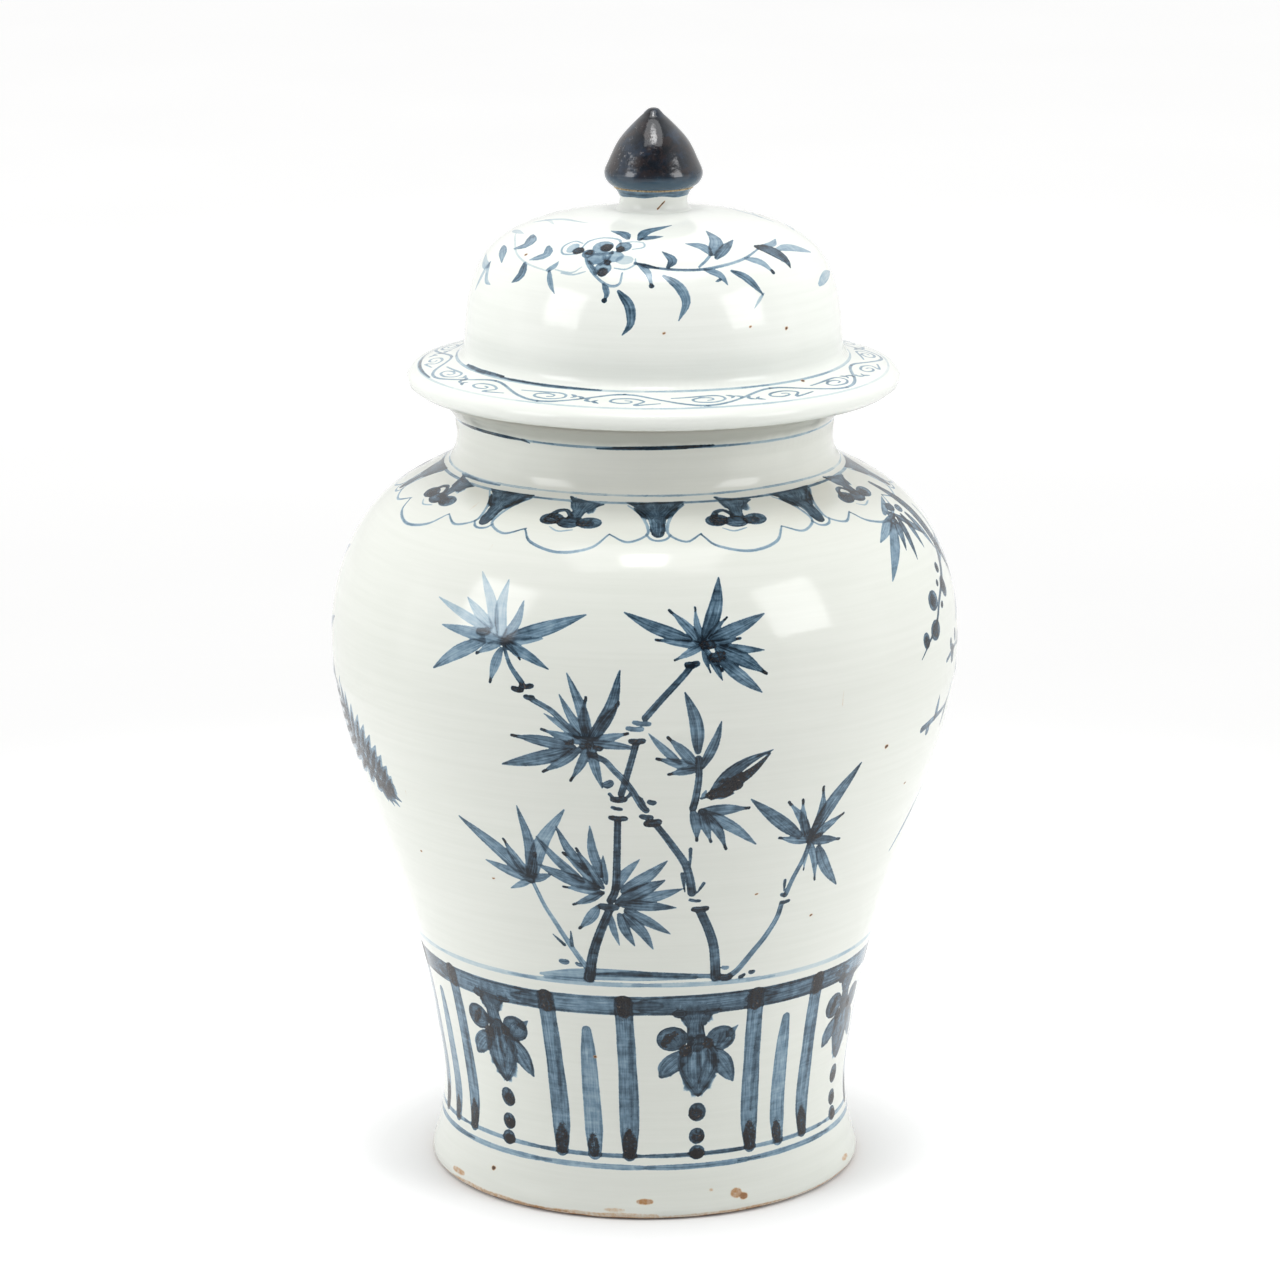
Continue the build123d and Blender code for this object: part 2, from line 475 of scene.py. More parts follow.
def skin(outside):
    """Triangulates an outside round its strokes. Gives degrees, mm and triangles."""
    scale = float(outside.fine_radius.max()) * math.pi / 180
    points = []
    edges = []

    def polyline(row, closed=False):
        start = len(points)
        points.extend(row)
        edges.extend((start + i, start + i + 1) for i in range(len(row) - 1))
        if closed:
            edges.append((start + len(row) - 1, start))

    borders = [end - outside.zero for end in outside.ends]
    for border in borders:
        count = max(24, round(360 * float(outside.mm_per_degree(border)) / GRID / 2) * 2)
        polyline([(scale * angle, border) for angle in np.linspace(-180, 180, count + 1)])
    for low, high in zip(borders, borders[1:]):
        rows = max(2, round((high - low) / GRID))
        levels = np.linspace(low, high, rows + 1)
        for side in (-180, 180):
            polyline([(scale * side, level) for level in levels])
        for k, level in enumerate(levels[1:-1]):
            count = max(24, round(360 * float(outside.mm_per_degree(level)) / GRID))
            stagger = 180 / count * (0.6 + 0.8 * (k % 2))
            angles = np.linspace(-180, 180, count + 1)[:-1] + stagger
            points.extend((scale * angle, level) for angle in angles)
    for stroke in outside.strokes:
        stroke.laid_out = lay_out(outside, stroke)
        middle, line, _, half = stroke.laid_out
        for grow in (-SOFT_EDGE / 2, SOFT_EDGE / 2):
            loop, closed = outline_of(line, half, grow, stroke.blunt)
            degrees = middle + loop[:, 0] / outside.mm_per_degree(loop[:, 1])
            level = np.clip(loop[:, 1], outside.low, outside.high)
            for turn in (-360, 0, 360):
                moved = degrees + turn
                if moved.max() > -180 and moved.min() < 180:
                    polyline(list(zip(scale * moved, level)), closed)
    made = delaunay_2d_cdt([Vector(p) for p in points], edges, [], 0, 1e-4)
    flat = np.array([tuple(p) for p in made[0]], float)
    triangles = np.array([f for f in made[2] if len(f) == 3])
    triangles = triangles[np.abs(flat[triangles].mean(axis=1)[:, 0]) < scale * 180]
    used, triangles = np.unique(triangles, return_inverse=True)
    triangles = triangles.reshape(-1, 3)
    flat = flat[used]
    degrees, v = flat[:, 0] / scale, flat[:, 1].copy()
    # the two sides of the seam at the back meet exactly
    seam = [np.nonzero(np.abs(degrees - side) < CLOSE)[0] for side in (-180, 180)]
    seam = [side[np.argsort(v[side])] for side in seam]
    v[seam[1]] = v[seam[0]]
    degrees[seam[0]] = degrees[seam[1]] = -180
    for border in borders:
        v[np.abs(v - border) < 2 * CLOSE] = border
    return degrees, v, triangles


def add_skins(outside, pieces, finish=0, shape=None):
    """Gives each piece its run of the painted outside, and returns each run's border angles."""
    degrees, v, triangles = skin(outside)
    layers = shade(outside, degrees, v)
    level = v[triangles].mean(axis=1) + outside.zero
    rims = []
    for k, (run, piece) in enumerate(zip(outside.runs, pieces)):
        low, high = outside.ends[k], outside.ends[k + 1]
        mine = triangles[(level > low) & (level < high)]
        used, mine = np.unique(mine, return_inverse=True)
        mine = mine.reshape(-1, 3)
        along = v[used] + outside.zero - low
        points, normals = turned(run, piece.axis_x, degrees[used], along, shape)
        own = {key: layer[used] for key, layer in layers.items()}
        piece.add(points, normals, mine.tolist(), finish, own)
        rims.append([
            np.unique(degrees[used][np.abs(along) < 1e-6]),
            np.unique(degrees[used][np.abs(along - run.length) < 1e-6]),
        ])
    return rims


# ---------------------------------------------------------------- the brush

def round_by(angle):
    """Moves a painting round by an angle."""
    return lambda x, y: (angle + x, y)


def behind(x, y):
    """The same plants again on the back, a little closer together and higher."""
    return 180 + x * 0.96, 2 + y * 0.997


class Brush:
    """Paints on an outside. Its place says where on it each (degrees, mm) point goes."""

    def __init__(self, outside, place=round_by(0)):
        self.outside = outside
        self.place = place

    def at(self, points):
        return [self.place(x, y) for x, y in points]

    def pull(self, points, widths, tone, burn=0.0, **kinds):
        """One stroke. Its kinds are its layer, its shades and whether it is blunt."""
        self.outside.strokes.append(Stroke(self.at(points), widths, tone, burn, **kinds))

    def line(self, points, width, tone, burn=0.0, ends=0.6, shades=(1.0,)):
        """A thin drawn line, a little finer at its ends."""
        self.pull(points, width * np.array([ends, 1.0, 0.95, 1.05, 1.0, ends]), tone, burn, shades=shades)

    def dab(self, middle, across, up, tone, burn=0.0, tilt=0.0, layer="paint"):
        """An oval dab, across degrees wide and up mm tall, leaning by tilt mm."""
        dab = Stroke(self.at([middle]), [up], tone, burn, layer)
        dab.oval = (across, up, tilt)
        self.outside.strokes.append(dab)

    def leaf(self, root, tip, width, touch=False, tone=0.62, bend=0.0, burn=0.0):
        """A bamboo leaf, pulled from root to tip, with a dark touch at the tip if asked."""
        root, tip = (np.array(point, float) for point in self.at([root, tip]))
        way = tip - root
        middle = (root + tip) / 2 + bend * np.array([way[1], -way[0]]) * 0.5
        tone = tone * chance.uniform(0.88, 1.1)
        widths = width * np.array([0.5, 0.86, 1.0, 0.94, 0.76, 0.48, 0.12])
        if touch:
            widths[-2:] = 0.36 * width, min(0.24 * width, 1.0)
        shades = (1.2, 1.0, 0.9, 0.97, 1.15)
        self.outside.strokes.append(Stroke([root, middle, tip], widths, tone, burn, shades=shades))
        if touch:
            size = min(1.6, 0.34 * width)
            self.outside.strokes.append(Stroke([tip - way * 0.06, tip], [size, size * 0.9], 0.95, 0.5))

    def lobe(self, middle, across, up, tone, burn=0.0):
        """A round petal: a wash, its darker outline and a heavier touch inside."""
        x, y = middle
        start = chance.uniform(0, 6)
        turns = np.linspace(start, start + chance.uniform(4.6, 5.8), 10)
        outline = [(x + 0.43 * across * math.cos(t), y + 0.43 * up * math.sin(t)) for t in turns]
        lean = chance.uniform(-0.12, 0.12)
        inside = [(lean - 0.14, -0.22), (lean, 0.05), (0.1, 0.2)]
        self.dab(middle, across, up, tone)
        self.pull(outline, [1.0, 2.0, 1.4, 2.2, 0.8], 0.6, shades=(1.1, 0.8, 1.1))
        self.pull([(x + out * across, y + rise * up) for out, rise in inside],
                  [0.2 * up, 0.34 * up, 0.2 * up], 0.45, burn)

    def knot(self, middle, across, up, tone, burn=0.0):
        """A joint of the bamboo: a short bar across the stem, thicker at its two ends."""
        x, y = self.place(*middle)
        lean = chance.uniform(-0.5, 0.5)
        ends = [(x - across / 2, y + lean), (x, y - 0.3), (x + across / 2, y - lean)]
        widths = up * np.array([0.78, 0.9, 0.86, 0.84, 0.92, 0.8])
        self.outside.strokes.append(Stroke(ends, widths, tone, burn))

    def ring(self, level, width, tone, wave=0.4, patches=0.15, seed=0.0):
        """A band round the turning jar, as strokes that meet end to end."""
        step = 30
        widths = width * np.array([0.3, 0.85, 1, 1.04, 0.98, 1, 1.03, 0.9, 0.35])
        for start in range(-180, 180, step):
            angles = np.linspace(start - chance.uniform(2, 5), start + step + chance.uniform(2, 5), 9)
            turn = np.radians(angles)
            rise = wave * (np.sin(turn * 2 + seed) + 0.5 * np.sin(turn * 5 + 3 * seed))
            strength = tone * (1 + patches * math.sin(math.radians(start * 3) + seed))
            self.pull(list(zip(angles, level + rise)), widths, strength, shades=(0.8, 1, 0.96, 1.04, 0.8))

    def pinholes(self, rows, tone):
        """Rusty pinholes, each given by its degrees, mm and size."""
        for x, y, size in rows:
            self.pull([(x - 0.2, y), (x + 0.2, y + 0.2)], [size, size * 0.8], tone, layer="stain")


# ---------------------------------------------------------------- the jar's painting

PENDANTS = (-41.5, 14, 66, 117, 168, 219, 270)   # angles of the hanging flowers round the foot
LAPPETS = (-62, -18.3, 22.6, 65, 111.6, 158.2, 204.8, 251.4)  # angles of the cloud lappets
DRAWN_WEDGES = (-40, 2.9, 44.3)                  # the first wedges, which aren't quite halfway


def bar(brush, slant):
    """One upright bar of the lower border, with darker ends."""
    middle = chance.uniform(-0.3, 0.3)
    foot = slant / 2
    swell = 8.8 * np.array([1.0, 0.95, 1.0, 0.97, 1.05, 1.08, 1.02, 0.7])
    brush.pull([(-foot, 106), (middle, 66), (foot, 27.5)], swell, 0.62, shades=(1.1, 0.95, 1.0, 0.95, 1.1))
    brush.pull([(middle + 0.8, 95), (middle + 0.9, 45)], [1.2, 2.6, 2.2, 0.6], 0.341)
    brush.pull([(-foot, 108), (0.2 - foot, 101)], [5.5, 6.5, 5], 0.66, 0.6)
    brush.pull([(foot - 0.3, 39), (foot, 28)], [2.4, 5.6, 6.4, 4.4], 0.64, 0.6)
    brush.pull([(foot + 1.2, 36), (foot + 1.2, 27.5)], [1.5, 3, 2.6, 1.5], 0.5)


def tongue(brush):
    """The shorter round-topped stroke between two bars."""
    swell = 8.4 * np.array([0.55, 0.85, 0.95, 1.0, 1.03, 1.05, 0.75])
    brush.pull([(-0.3, 91), (0, 60), (0.8, 27.5)], swell, 0.54, shades=(1.1, 0.92, 0.95, 1.05))
    brush.pull([(0.2, 36), (0.6, 27.5)], [2.4, 5.0, 5.2, 3.4], 0.62, 0.58)


def pendant(brush):
    """A flower hanging from the band: two round petals, two pointed ones and a drop, with three
    dabs under it."""
    drop = chance.uniform(-1, 1)
    tip = 57 + drop
    brush.pull([(-1.0, 101.5), (-1.2, 94), (-0.6, 84)], [20, 11, 8.5, 8, 9, 9], 0.8, 0.25, blunt=True)
    brush.dab((-5.4, 100.4), 3.4, 4.6, 0.9, 0.35)
    brush.dab((3.0, 100.6), 4.6, 3.4, 0.8, 0.1)
    brush.lobe((-7.1, 87.2), 8.0, 13, 0.76, 0.62)
    brush.lobe((5.8, 86), 8.0, 13, 0.7, 0.3)
    brush.pull([(8.2, 88), (10.2, 91.5)], [4, 2.6, 0.6], 0.66)
    # the pointed petals and their outlines
    brush.pull([(-2.6, 79), (-6.4, 74.5), (-9.6, 68)], [4, 8.5, 10, 8, 3], 0.68)
    brush.line([(-3, 81), (-7.6, 78.4), (-10.2, 73), (-9.8, 67.6)], 1.3, 0.62)
    brush.line([(-9.4, 67.6), (-6.4, 69.4), (-3.6, 74)], 1.2, 0.6)
    brush.pull([(2.8, 79), (6.2, 74), (10, 62.5)], [4, 8.5, 10, 7, 1], 0.66)
    brush.line([(3.4, 81), (7.4, 77.6), (9.6, 71), (10.2, 62.4)], 1.3, 0.66)
    brush.line([(3.4, 78), (6.4, 72), (9.8, 63.4)], 1.0, 0.5)
    # the drop
    brush.pull([(0.1, 86), (0.1, 77), (0.3, 67), (0.5, tip)], [6, 13, 18, 18.5, 15, 9.5, 1.6], 0.72,
               shades=(1.15, 0.9, 1.0, 1.15))
    brush.line([(-1.6, 85), (-4.8, 77.5), (-4.0, 69), (0.2, tip + 0.6)], 1.7, 0.62)
    brush.line([(1.8, 85), (4.9, 77), (4.3, 68.6), (0.7, tip + 0.6)], 1.7, 0.62)
    brush.pull([(-0.2, 82), (0.3, 71), (0.4, 63)], [1.0, 2.4, 1.8, 0.6], 0.6)
    brush.pull([(2.4, 76), (1.6, 70), (0.6, 64)], [0.8, 1.6, 0.6], 0.5)
    brush.dab((-3.6, 80.6), 2.8, 5.4, 0.8, 0.62)
    brush.dab((2.4, 83.6), 2.6, 4.6, 0.8, 0.6)
    for y, across, up, burn in ((48.4 + drop, 4.9, 9.8, 0.3), (36, 4.5, 7.8, 0.3), (28, 4.4, 7.0, 0.44)):
        side = chance.uniform(-0.7, 0.9)
        brush.dab((0.4, y), across, up, 0.78, tilt=0.6)
        brush.dab((0.4 + side, y - 0.1 * up), across * 0.8, up * 0.55, 0.7, burn + 0.3, tilt=-side)


def lower_border(outside):
    brush = Brush(outside)
    brush.ring(21.3, 2.6, 0.5, 0.25, seed=1.0)
    brush.ring(26.8, 2.1, 0.6, 0.3, patches=0.25, seed=2.0)
    brush.ring(104.8, 9.6, 0.68, 0.35, patches=0.1, seed=0.4)
    brush.ring(109.2, 1.5, 0.72, 0.35, patches=0.3, seed=0.4)
    brush.ring(100.2, 1.4, 0.7, 0.4, patches=0.4, seed=0.8)
    brush.ring(116.0, 2.5, 0.28, 0.5, patches=0.3, seed=2.6)
    for number, angle in enumerate(PENDANTS):
        pendant(Brush(outside, round_by(angle)))
        following = PENDANTS[(number + 1) % len(PENDANTS)]
        middle = angle + (following - angle) % 360 / 2 - 0.9
        bar(Brush(outside, round_by(middle - 9.7)), 1.8)
        bar(Brush(outside, round_by(middle + 9.9)), 1.2)
        tongue(Brush(outside, round_by(middle)))


def lappet(brush, left, right):
    """A cloud lappet: a scalloped line round a dark three-lobed bud. left and right are how far
    round the wedges beside it are."""
    brush.pull([(2.2, 368.4), (1.4, 362.5), (0.6, 356)], [18, 12.5, 8, 6, 6, 7], 0.74, 0.12, blunt=True)
    brush.pull([(-0.4, 357.6), (-2.2, 361.2), (-4.4, 360.2), (-5.2, 357.4)], [2.4, 2.0, 2.4, 3.2], 0.84, 0.3)
    brush.dab((-5.0, 354.6), 6.4, 8.0, 0.74, 0.1, tilt=0.8)
    brush.dab((-4.9, 354.2), 4.6, 5.0, 0.6, 0.5, tilt=-0.8)
    brush.dab((-0.4, 352.8), 6.4, 7.4, 0.8, 0.3, tilt=-0.5)
    brush.dab((4.8, 353.4), 6.8, 7.8, 0.7, 0.05, tilt=0.4)
    brush.dab((4.0, 353.0), 4.4, 4.4, 0.6, 0.47)
    brush.line([(-4.4, 349.2), (-2.0, 346.8), (1.4, 348.2)], 0.95, 0.4)
    # the scallops: a wide one under the bud and one up to each wedge
    brush.line([(-9.8, 345.6), (-7, 338.6), (-0.2, 334.3), (6.6, 337.8), (10.2, 346.5)], 1.6, 0.5,
               shades=(1.4, 1.0, 1.1, 0.85, 1.0))
    for cusp, end in ((-9.8, left), (10.2, right)):
        side = math.copysign(1, cusp - end)
        low = (cusp + end + side * 2.6) / 2
        brush.line([(cusp, 346.5), (low, 341.8), (end + side * 2.7, 346), (end + side * 2.4, 352),
                    (end + side * 4.2, 360.5), (end + side * 7.5, 366.5)],
                   1.4, 0.46, shades=(1.4, 1.0, 1.1, 0.9, 0.8))


def wedge(brush):
    """The dark waisted stroke between two lappets."""
    brush.pull([(0, 368.4), (0.1, 361), (0.1, 354), (0, 347.5)],
               [26, 20.5, 15, 10.5, 7.8, 6.6, 6.2, 6.4, 7.0, 6.0], 0.74, 0.1,
               shades=(1.1, 1.05, 0.95, 1.0, 1.15), blunt=True)
    brush.pull([(-6, 367), (-2.2, 359), (-1.2, 350)], [1.5, 2, 1.6, 1.2], 0.6, 0.1)
    brush.pull([(6.5, 367), (2.6, 360), (1.4, 352)], [3.5, 2.4, 1.6, 1.2], 0.66, 0.2)
    brush.line([(-2.6, 346.6), (-1.6, 343.6), (0, 342.6), (1.8, 343.6), (2.9, 346.2)], 1.3, 0.5)


def shoulder_border(outside):
    wedges = list(DRAWN_WEDGES)
    for number in range(len(wedges), len(LAPPETS)):
        following = LAPPETS[(number + 1) % len(LAPPETS)]
        wedges.append(LAPPETS[number] + (following - LAPPETS[number]) % 360 / 2)
    for number, angle in enumerate(LAPPETS):
        left = wedges[number - 1] - (360 if number == 0 else 0)
        lappet(Brush(outside, round_by(angle)), left - angle, wedges[number] - angle)
        wedge(Brush(outside, round_by(wedges[number])))
    Brush(outside).ring(368.0, 1.6, 0.5, 0.2, patches=0.3, seed=0.6)


# Each spray of bamboo leaves: the middle that its leaves come from, and for each leaf its tip and
# width in mm, then its own root where that is not the middle. True asks for a dark touch at the tip.
LEFT_LOW = ((-23.9, 171.7), [
    ((-38.2, 200.6), 7.5, False), ((-28.6, 192.5), 5.5, True), ((-24.4, 211.7), 6.0, False),
    ((-15.1, 212.0), 7.5, False), ((-22.1, 186.7), 4.2, True), ((-19.2, 176.0), 4.5, False),
    ((-29.1, 165.3), 3.6, False), ((-33.9, 179.0), 5.5, False),
])
MIDDLE_LOW = ((-7.9, 167.5), [
    ((-21.3, 196.3), 5.0, False, (-14.3, 175.5)), ((-17.0, 202.9), 5.0, False, (-12.5, 181.7)),
    ((-16.2, 188.8), 4.4, True, (-10.7, 171.7)), ((-13.4, 191.7), 4.4, True, (-8.9, 171.7)),
    ((-10.4, 204.2), 5.0, False, (-9.1, 180.8)), ((-8.2, 188.3), 3.6, False, (-7.9, 175.0)),
    ((-21.8, 180.8), 7.0, False, (-10.7, 171.3)), ((-17.0, 169.8), 4.0, True, (-8.9, 167.9)),
    ((-15.2, 160.2), 4.4, True, (-9.3, 167.5)), ((-14.4, 147.0), 5.5, True, (-10.7, 156.7)),
    ((-1.1, 186.7), 5.0, False, (-5.2, 171.7)), ((4.3, 185.7), 6.5, False, (-3.4, 170.0)),
    ((3.9, 175.0), 8.0, False, (-4.6, 160.8)), ((7.6, 170.0), 6.0, False, (-0.2, 161.7)),
    ((6.5, 159.6), 6.0, False, (-4.2, 160.0)), ((5.5, 145.0), 5.5, False, (-2.6, 155.0)),
    ((1.8, 136.7), 5.5, False, (-3.0, 151.7)), ((-2.3, 138.5), 5.0, False, (-4.6, 151.7)),
    ((-5.7, 138.7), 3.5, False, (-7.3, 151.7)),
])
RIGHT_TOP = ((10.3, 291.0), [
    ((-3.8, 306.4), 6.0, False, (7.0, 295.0)), ((4.4, 307.5), 4.4, True), ((9.2, 308.5), 3.4, True),
    ((14.4, 321.7), 7.0, False, (10.8, 295.8)), ((15.0, 303.2), 3.4, True),
    ((22.2, 303.5), 6.5, False, (12.6, 295.0)), ((17.2, 293.5), 3.8, True),
    ((21.4, 287.3), 4.0, False, (14.6, 290.0)), ((1.9, 294.2), 4.0, True), ((5.2, 285.0), 3.6, True),
    ((11.4, 279.0), 2.6, True), ((13.6, 279.3), 3.0, True), ((13.5, 275.2), 3.4, False, (11.7, 284.6)),
    ((21.6, 276.7), 7.0, True, (13.8, 288.8)), ((20.6, 268.5), 6.0, False, (14.6, 280.8)),
])
LEFT_TOP = ((-26.1, 290.0), [
    ((-41.6, 305.2), 4.4, False, (-30.0, 295.8)), ((-35.0, 307.5), 5.0, False, (-29.6, 298.0)),
    ((-33.4, 320.2), 5.5, False, (-28.2, 294.0)), ((-27.1, 318.0), 6.5, False),
    ((-23.1, 309.2), 5.0, False), ((-10.9, 304.8), 7.0, False, (-24.3, 292.5)),
    ((-18.4, 293.0), 3.6, False), ((-17.1, 279.6), 5.0, False), ((-22.4, 282.8), 2.6, True),
    ((-28.0, 271.2), 5.0, True, (-26.4, 285.0)), ((-31.1, 283.2), 4.0, True),
    ((-40.2, 273.3), 6.8, False, (-31.4, 288.6)), ((-39.3, 293.3), 6.0, False),
])
MIDDLE_TOP = ((-9.6, 246.7), [
    ((-17.7, 259.2), 4.0, False), ((-15.0, 268.5), 4.6, False), ((-13.7, 278.3), 5.5, False),
    ((-10.3, 268.0), 4.2, True), ((-4.4, 280.4), 6.5, False), ((-4.5, 265.8), 5.0, True),
    ((-3.0, 251.8), 4.4, True), ((-1.4, 244.6), 4.4, False), ((-18.3, 251.8), 4.4, True),
    ((-23.9, 247.7), 5.8, True, (-13.6, 243.3)), ((-26.2, 232.7), 7.0, False, (-14.6, 240.8)),
    ((-18.4, 231.0), 5.0, True, (-12.1, 242.5)), ((-13.4, 227.5), 4.5, True), ((-7.7, 224.6), 5.0, False),
])
RIGHT_LOW = ((34.2, 189.2), [
    ((19.8, 216.3), 6.8, False, (30.6, 194.2)), ((27.7, 212.5), 4.8, True), ((30.7, 212.5), 4.8, True),
    ((35.0, 217.5), 5.2, True), ((43.4, 225.8), 8.0, False, (35.0, 195.8)), ((41.7, 200.4), 5.5, True),
    ((42.4, 186.3), 5.2, True), ((26.9, 193.6), 4.4, True), ((34.5, 172.9), 2.6, True),
    ((38.3, 165.8), 4.0, True), ((45.5, 159.8), 6.0, False, (38.0, 182.5)),
])
RIGHT_MIDDLE = ((9.4, 234.0), [
    ((6.9, 270.4), 6.5, False, (9.2, 245.8)), ((13.3, 256.3), 5.0, False, (10.4, 235.4)),
    ((3.9, 250.0), 5.4, True), ((0.6, 251.8), 4.0, False, (5.0, 238.3)), ((2.0, 239.6), 5.0, True),
    ((4.1, 231.7), 4.4, True),
])
RIGHT_HANGING = ((10.4, 212.0), [
    ((19.6, 212.0), 6.0, True), ((22.0, 191.8), 6.0, False), ((15.9, 190.7), 5.2, True),
    ((12.7, 195.2), 4.6, True), ((9.9, 196.3), 5.0, True, (8.2, 212.5)),
])

# the sprays with the strength of their blue
SPRAYS = (
    (LEFT_LOW, 0.6), (MIDDLE_LOW, 0.66), (RIGHT_TOP, 0.7), (LEFT_TOP, 0.58), (MIDDLE_TOP, 0.68),
    (RIGHT_LOW, 0.66), (RIGHT_MIDDLE, 0.68), (RIGHT_HANGING, 0.62),
)

# Stems: a line of (degrees, mm), the width at its start and end, tone and burn
STEMS = (
    ([(-13.2, 119.5), (-11.8, 133.3), (-9.8, 145.8), (-7.5, 158.3)], 5.2, 3.8, 0.9, 0.3),
    ([(-7.2, 163.5), (-6.0, 170.8), (-5.4, 191.7), (-5.1, 207.0)], 3.8, 3.2, 0.84, 0.15),
    ([(-4.3, 221.7), (-2.9, 234.0), (-1.6, 246.5)], 3.2, 3.0, 0.8, 0.1),
    ([(0.0, 259.0), (3.0, 268.0), (6.2, 276.7), (8.2, 282.5)], 3.2, 2.8, 0.78, 0.1),
    ([(-25.8, 288.5), (-24.3, 280.0), (-21.9, 272.5)], 1.5, 2.8, 0.74, 0.2),
    ([(-20.0, 265.4), (-16.4, 260.8), (-13.9, 255.0), (-11.8, 250.0)], 2.6, 2.8, 0.7, 0.0),
    ([(-9.3, 240.8), (-7.1, 238.3), (-5.4, 233.3), (-3.6, 228.3), (-2.1, 222.5), (-0.7, 215.8), (0.2, 213.3)],
     2.8, 3.2, 0.76, 0.1),
    ([(2.0, 205.5), (2.8, 202.9), (5.0, 195.0), (7.8, 184.2), (9.0, 175.8), (9.7, 167.5)],
     3.0, 4.2, 0.78, 0.1),
    ([(11.8, 156.8), (13.8, 147.5), (15.4, 138.3), (16.2, 130.0), (16.9, 119.5)], 4.2, 5.0, 0.8, 0.1),
    ([(19.8, 118.6), (22.2, 122.0), (25.4, 130.8), (28.2, 139.2), (30.2, 148.3), (30.7, 155.8)],
     3.4, 2.8, 0.62, 0.0),
    ([(31.2, 160.5), (32.2, 169.2), (33.6, 178.3), (34.3, 186.0)], 2.8, 2.4, 0.68, 0.0),
    ([(-13.9, 126.0), (-17.1, 137.5), (-20.0, 150.0), (-21.8, 158.3), (-23.4, 169.5)], 2.9, 2.0, 0.52, 0.0),
    ([(8.8, 214.0), (9.2, 219.2), (9.6, 230.0), (9.4, 239.2)], 3.6, 3.0, 0.88, 0.2),
)

# Knots of the stems and other dabs: (degrees, mm), degrees across, mm tall, tone and burn
KNOTS = (
    ((-7.7, 160.0), 4.8, 4.4, 0.88, 0.3), ((-5.0, 209.0), 4.4, 3.2, 0.93, 0.5),
    ((-5.2, 214.2), 2.6, 2.2, 0.88, 0.3), ((-4.8, 218.9), 3.4, 3.6, 0.9, 0.4),
    ((-1.4, 248.2), 3.4, 3.4, 0.9, 0.45), ((-1.8, 254.0), 4.0, 2.6, 0.66, 0.0),
    ((-0.6, 256.6), 4.2, 2.6, 0.66, 0.0), ((8.2, 283.0), 3.0, 3.4, 0.9, 0.4),
    ((-22.7, 269.4), 2.6, 3.0, 0.92, 0.5), ((-21.0, 271.2), 3.2, 2.8, 0.92, 0.5),
    ((-20.5, 266.3), 2.2, 2.8, 0.85, 0.3), ((0.2, 209.8), 2.8, 3.2, 0.88, 0.3),
    ((1.4, 206.6), 3.4, 4.4, 0.92, 0.5), ((1.2, 217.5), 1.4, 3.0, 0.85, 0.3),
    ((-6.6, 226.7), 1.2, 4.4, 0.8, 0.2), ((10.4, 163.3), 3.4, 2.0, 0.86, 0.3),
    ((11.7, 158.3), 4.4, 3.6, 0.93, 0.5), ((31.4, 156.8), 3.2, 2.4, 0.9, 0.4),
    ((30.6, 161.0), 1.4, 2.4, 0.8, 0.2), ((19.4, 118.8), 3.2, 4.2, 0.93, 0.45),
    ((19.0, 124.2), 1.8, 2.4, 0.6, 0.0), ((23.6, 118.4), 1.6, 2.4, 0.85, 0.3),
    ((26.1, 119.9), 1.4, 2.6, 0.85, 0.3), ((-19.0, 127.6), 2.2, 3.4, 0.7, 0.1),
    ((-15.5, 126.7), 1.4, 2.2, 0.7, 0.1), ((-13.2, 246.7), 1.6, 2.6, 0.95, 0.5),
    ((-10.5, 245.2), 1.8, 3.0, 0.95, 0.5), ((-8.2, 244.2), 1.6, 2.6, 0.95, 0.5),
    ((-9.3, 241.3), 1.8, 2.4, 0.95, 0.4), ((36.2, 191.3), 2.6, 3.0, 0.93, 0.5),
    ((11.2, 291.5), 2.4, 4.2, 0.95, 0.5), ((12.8, 286.0), 2.2, 5.0, 0.95, 0.5),
    ((-30.3, 293.2), 2.6, 4.2, 0.62, 0.3),
)

# Short ticks beside the knots
TICKS = (
    ((8.8, 192.0), (8.9, 181.7)), ((7.4, 178.5), (8.2, 168.3)), ((12.0, 172.5), (10.8, 167.5)),
    ((30.3, 169.0), (30.6, 163.0)), ((-6.4, 221.5), (-5.4, 218.5)), ((-2.7, 221.5), (-3.8, 218.5)),
    ((-18.4, 137.0), (-20.8, 142.3)), ((-16.6, 137.0), (-16.5, 145.0)), ((-0.8, 219.5), (0.2, 215.0)),
)


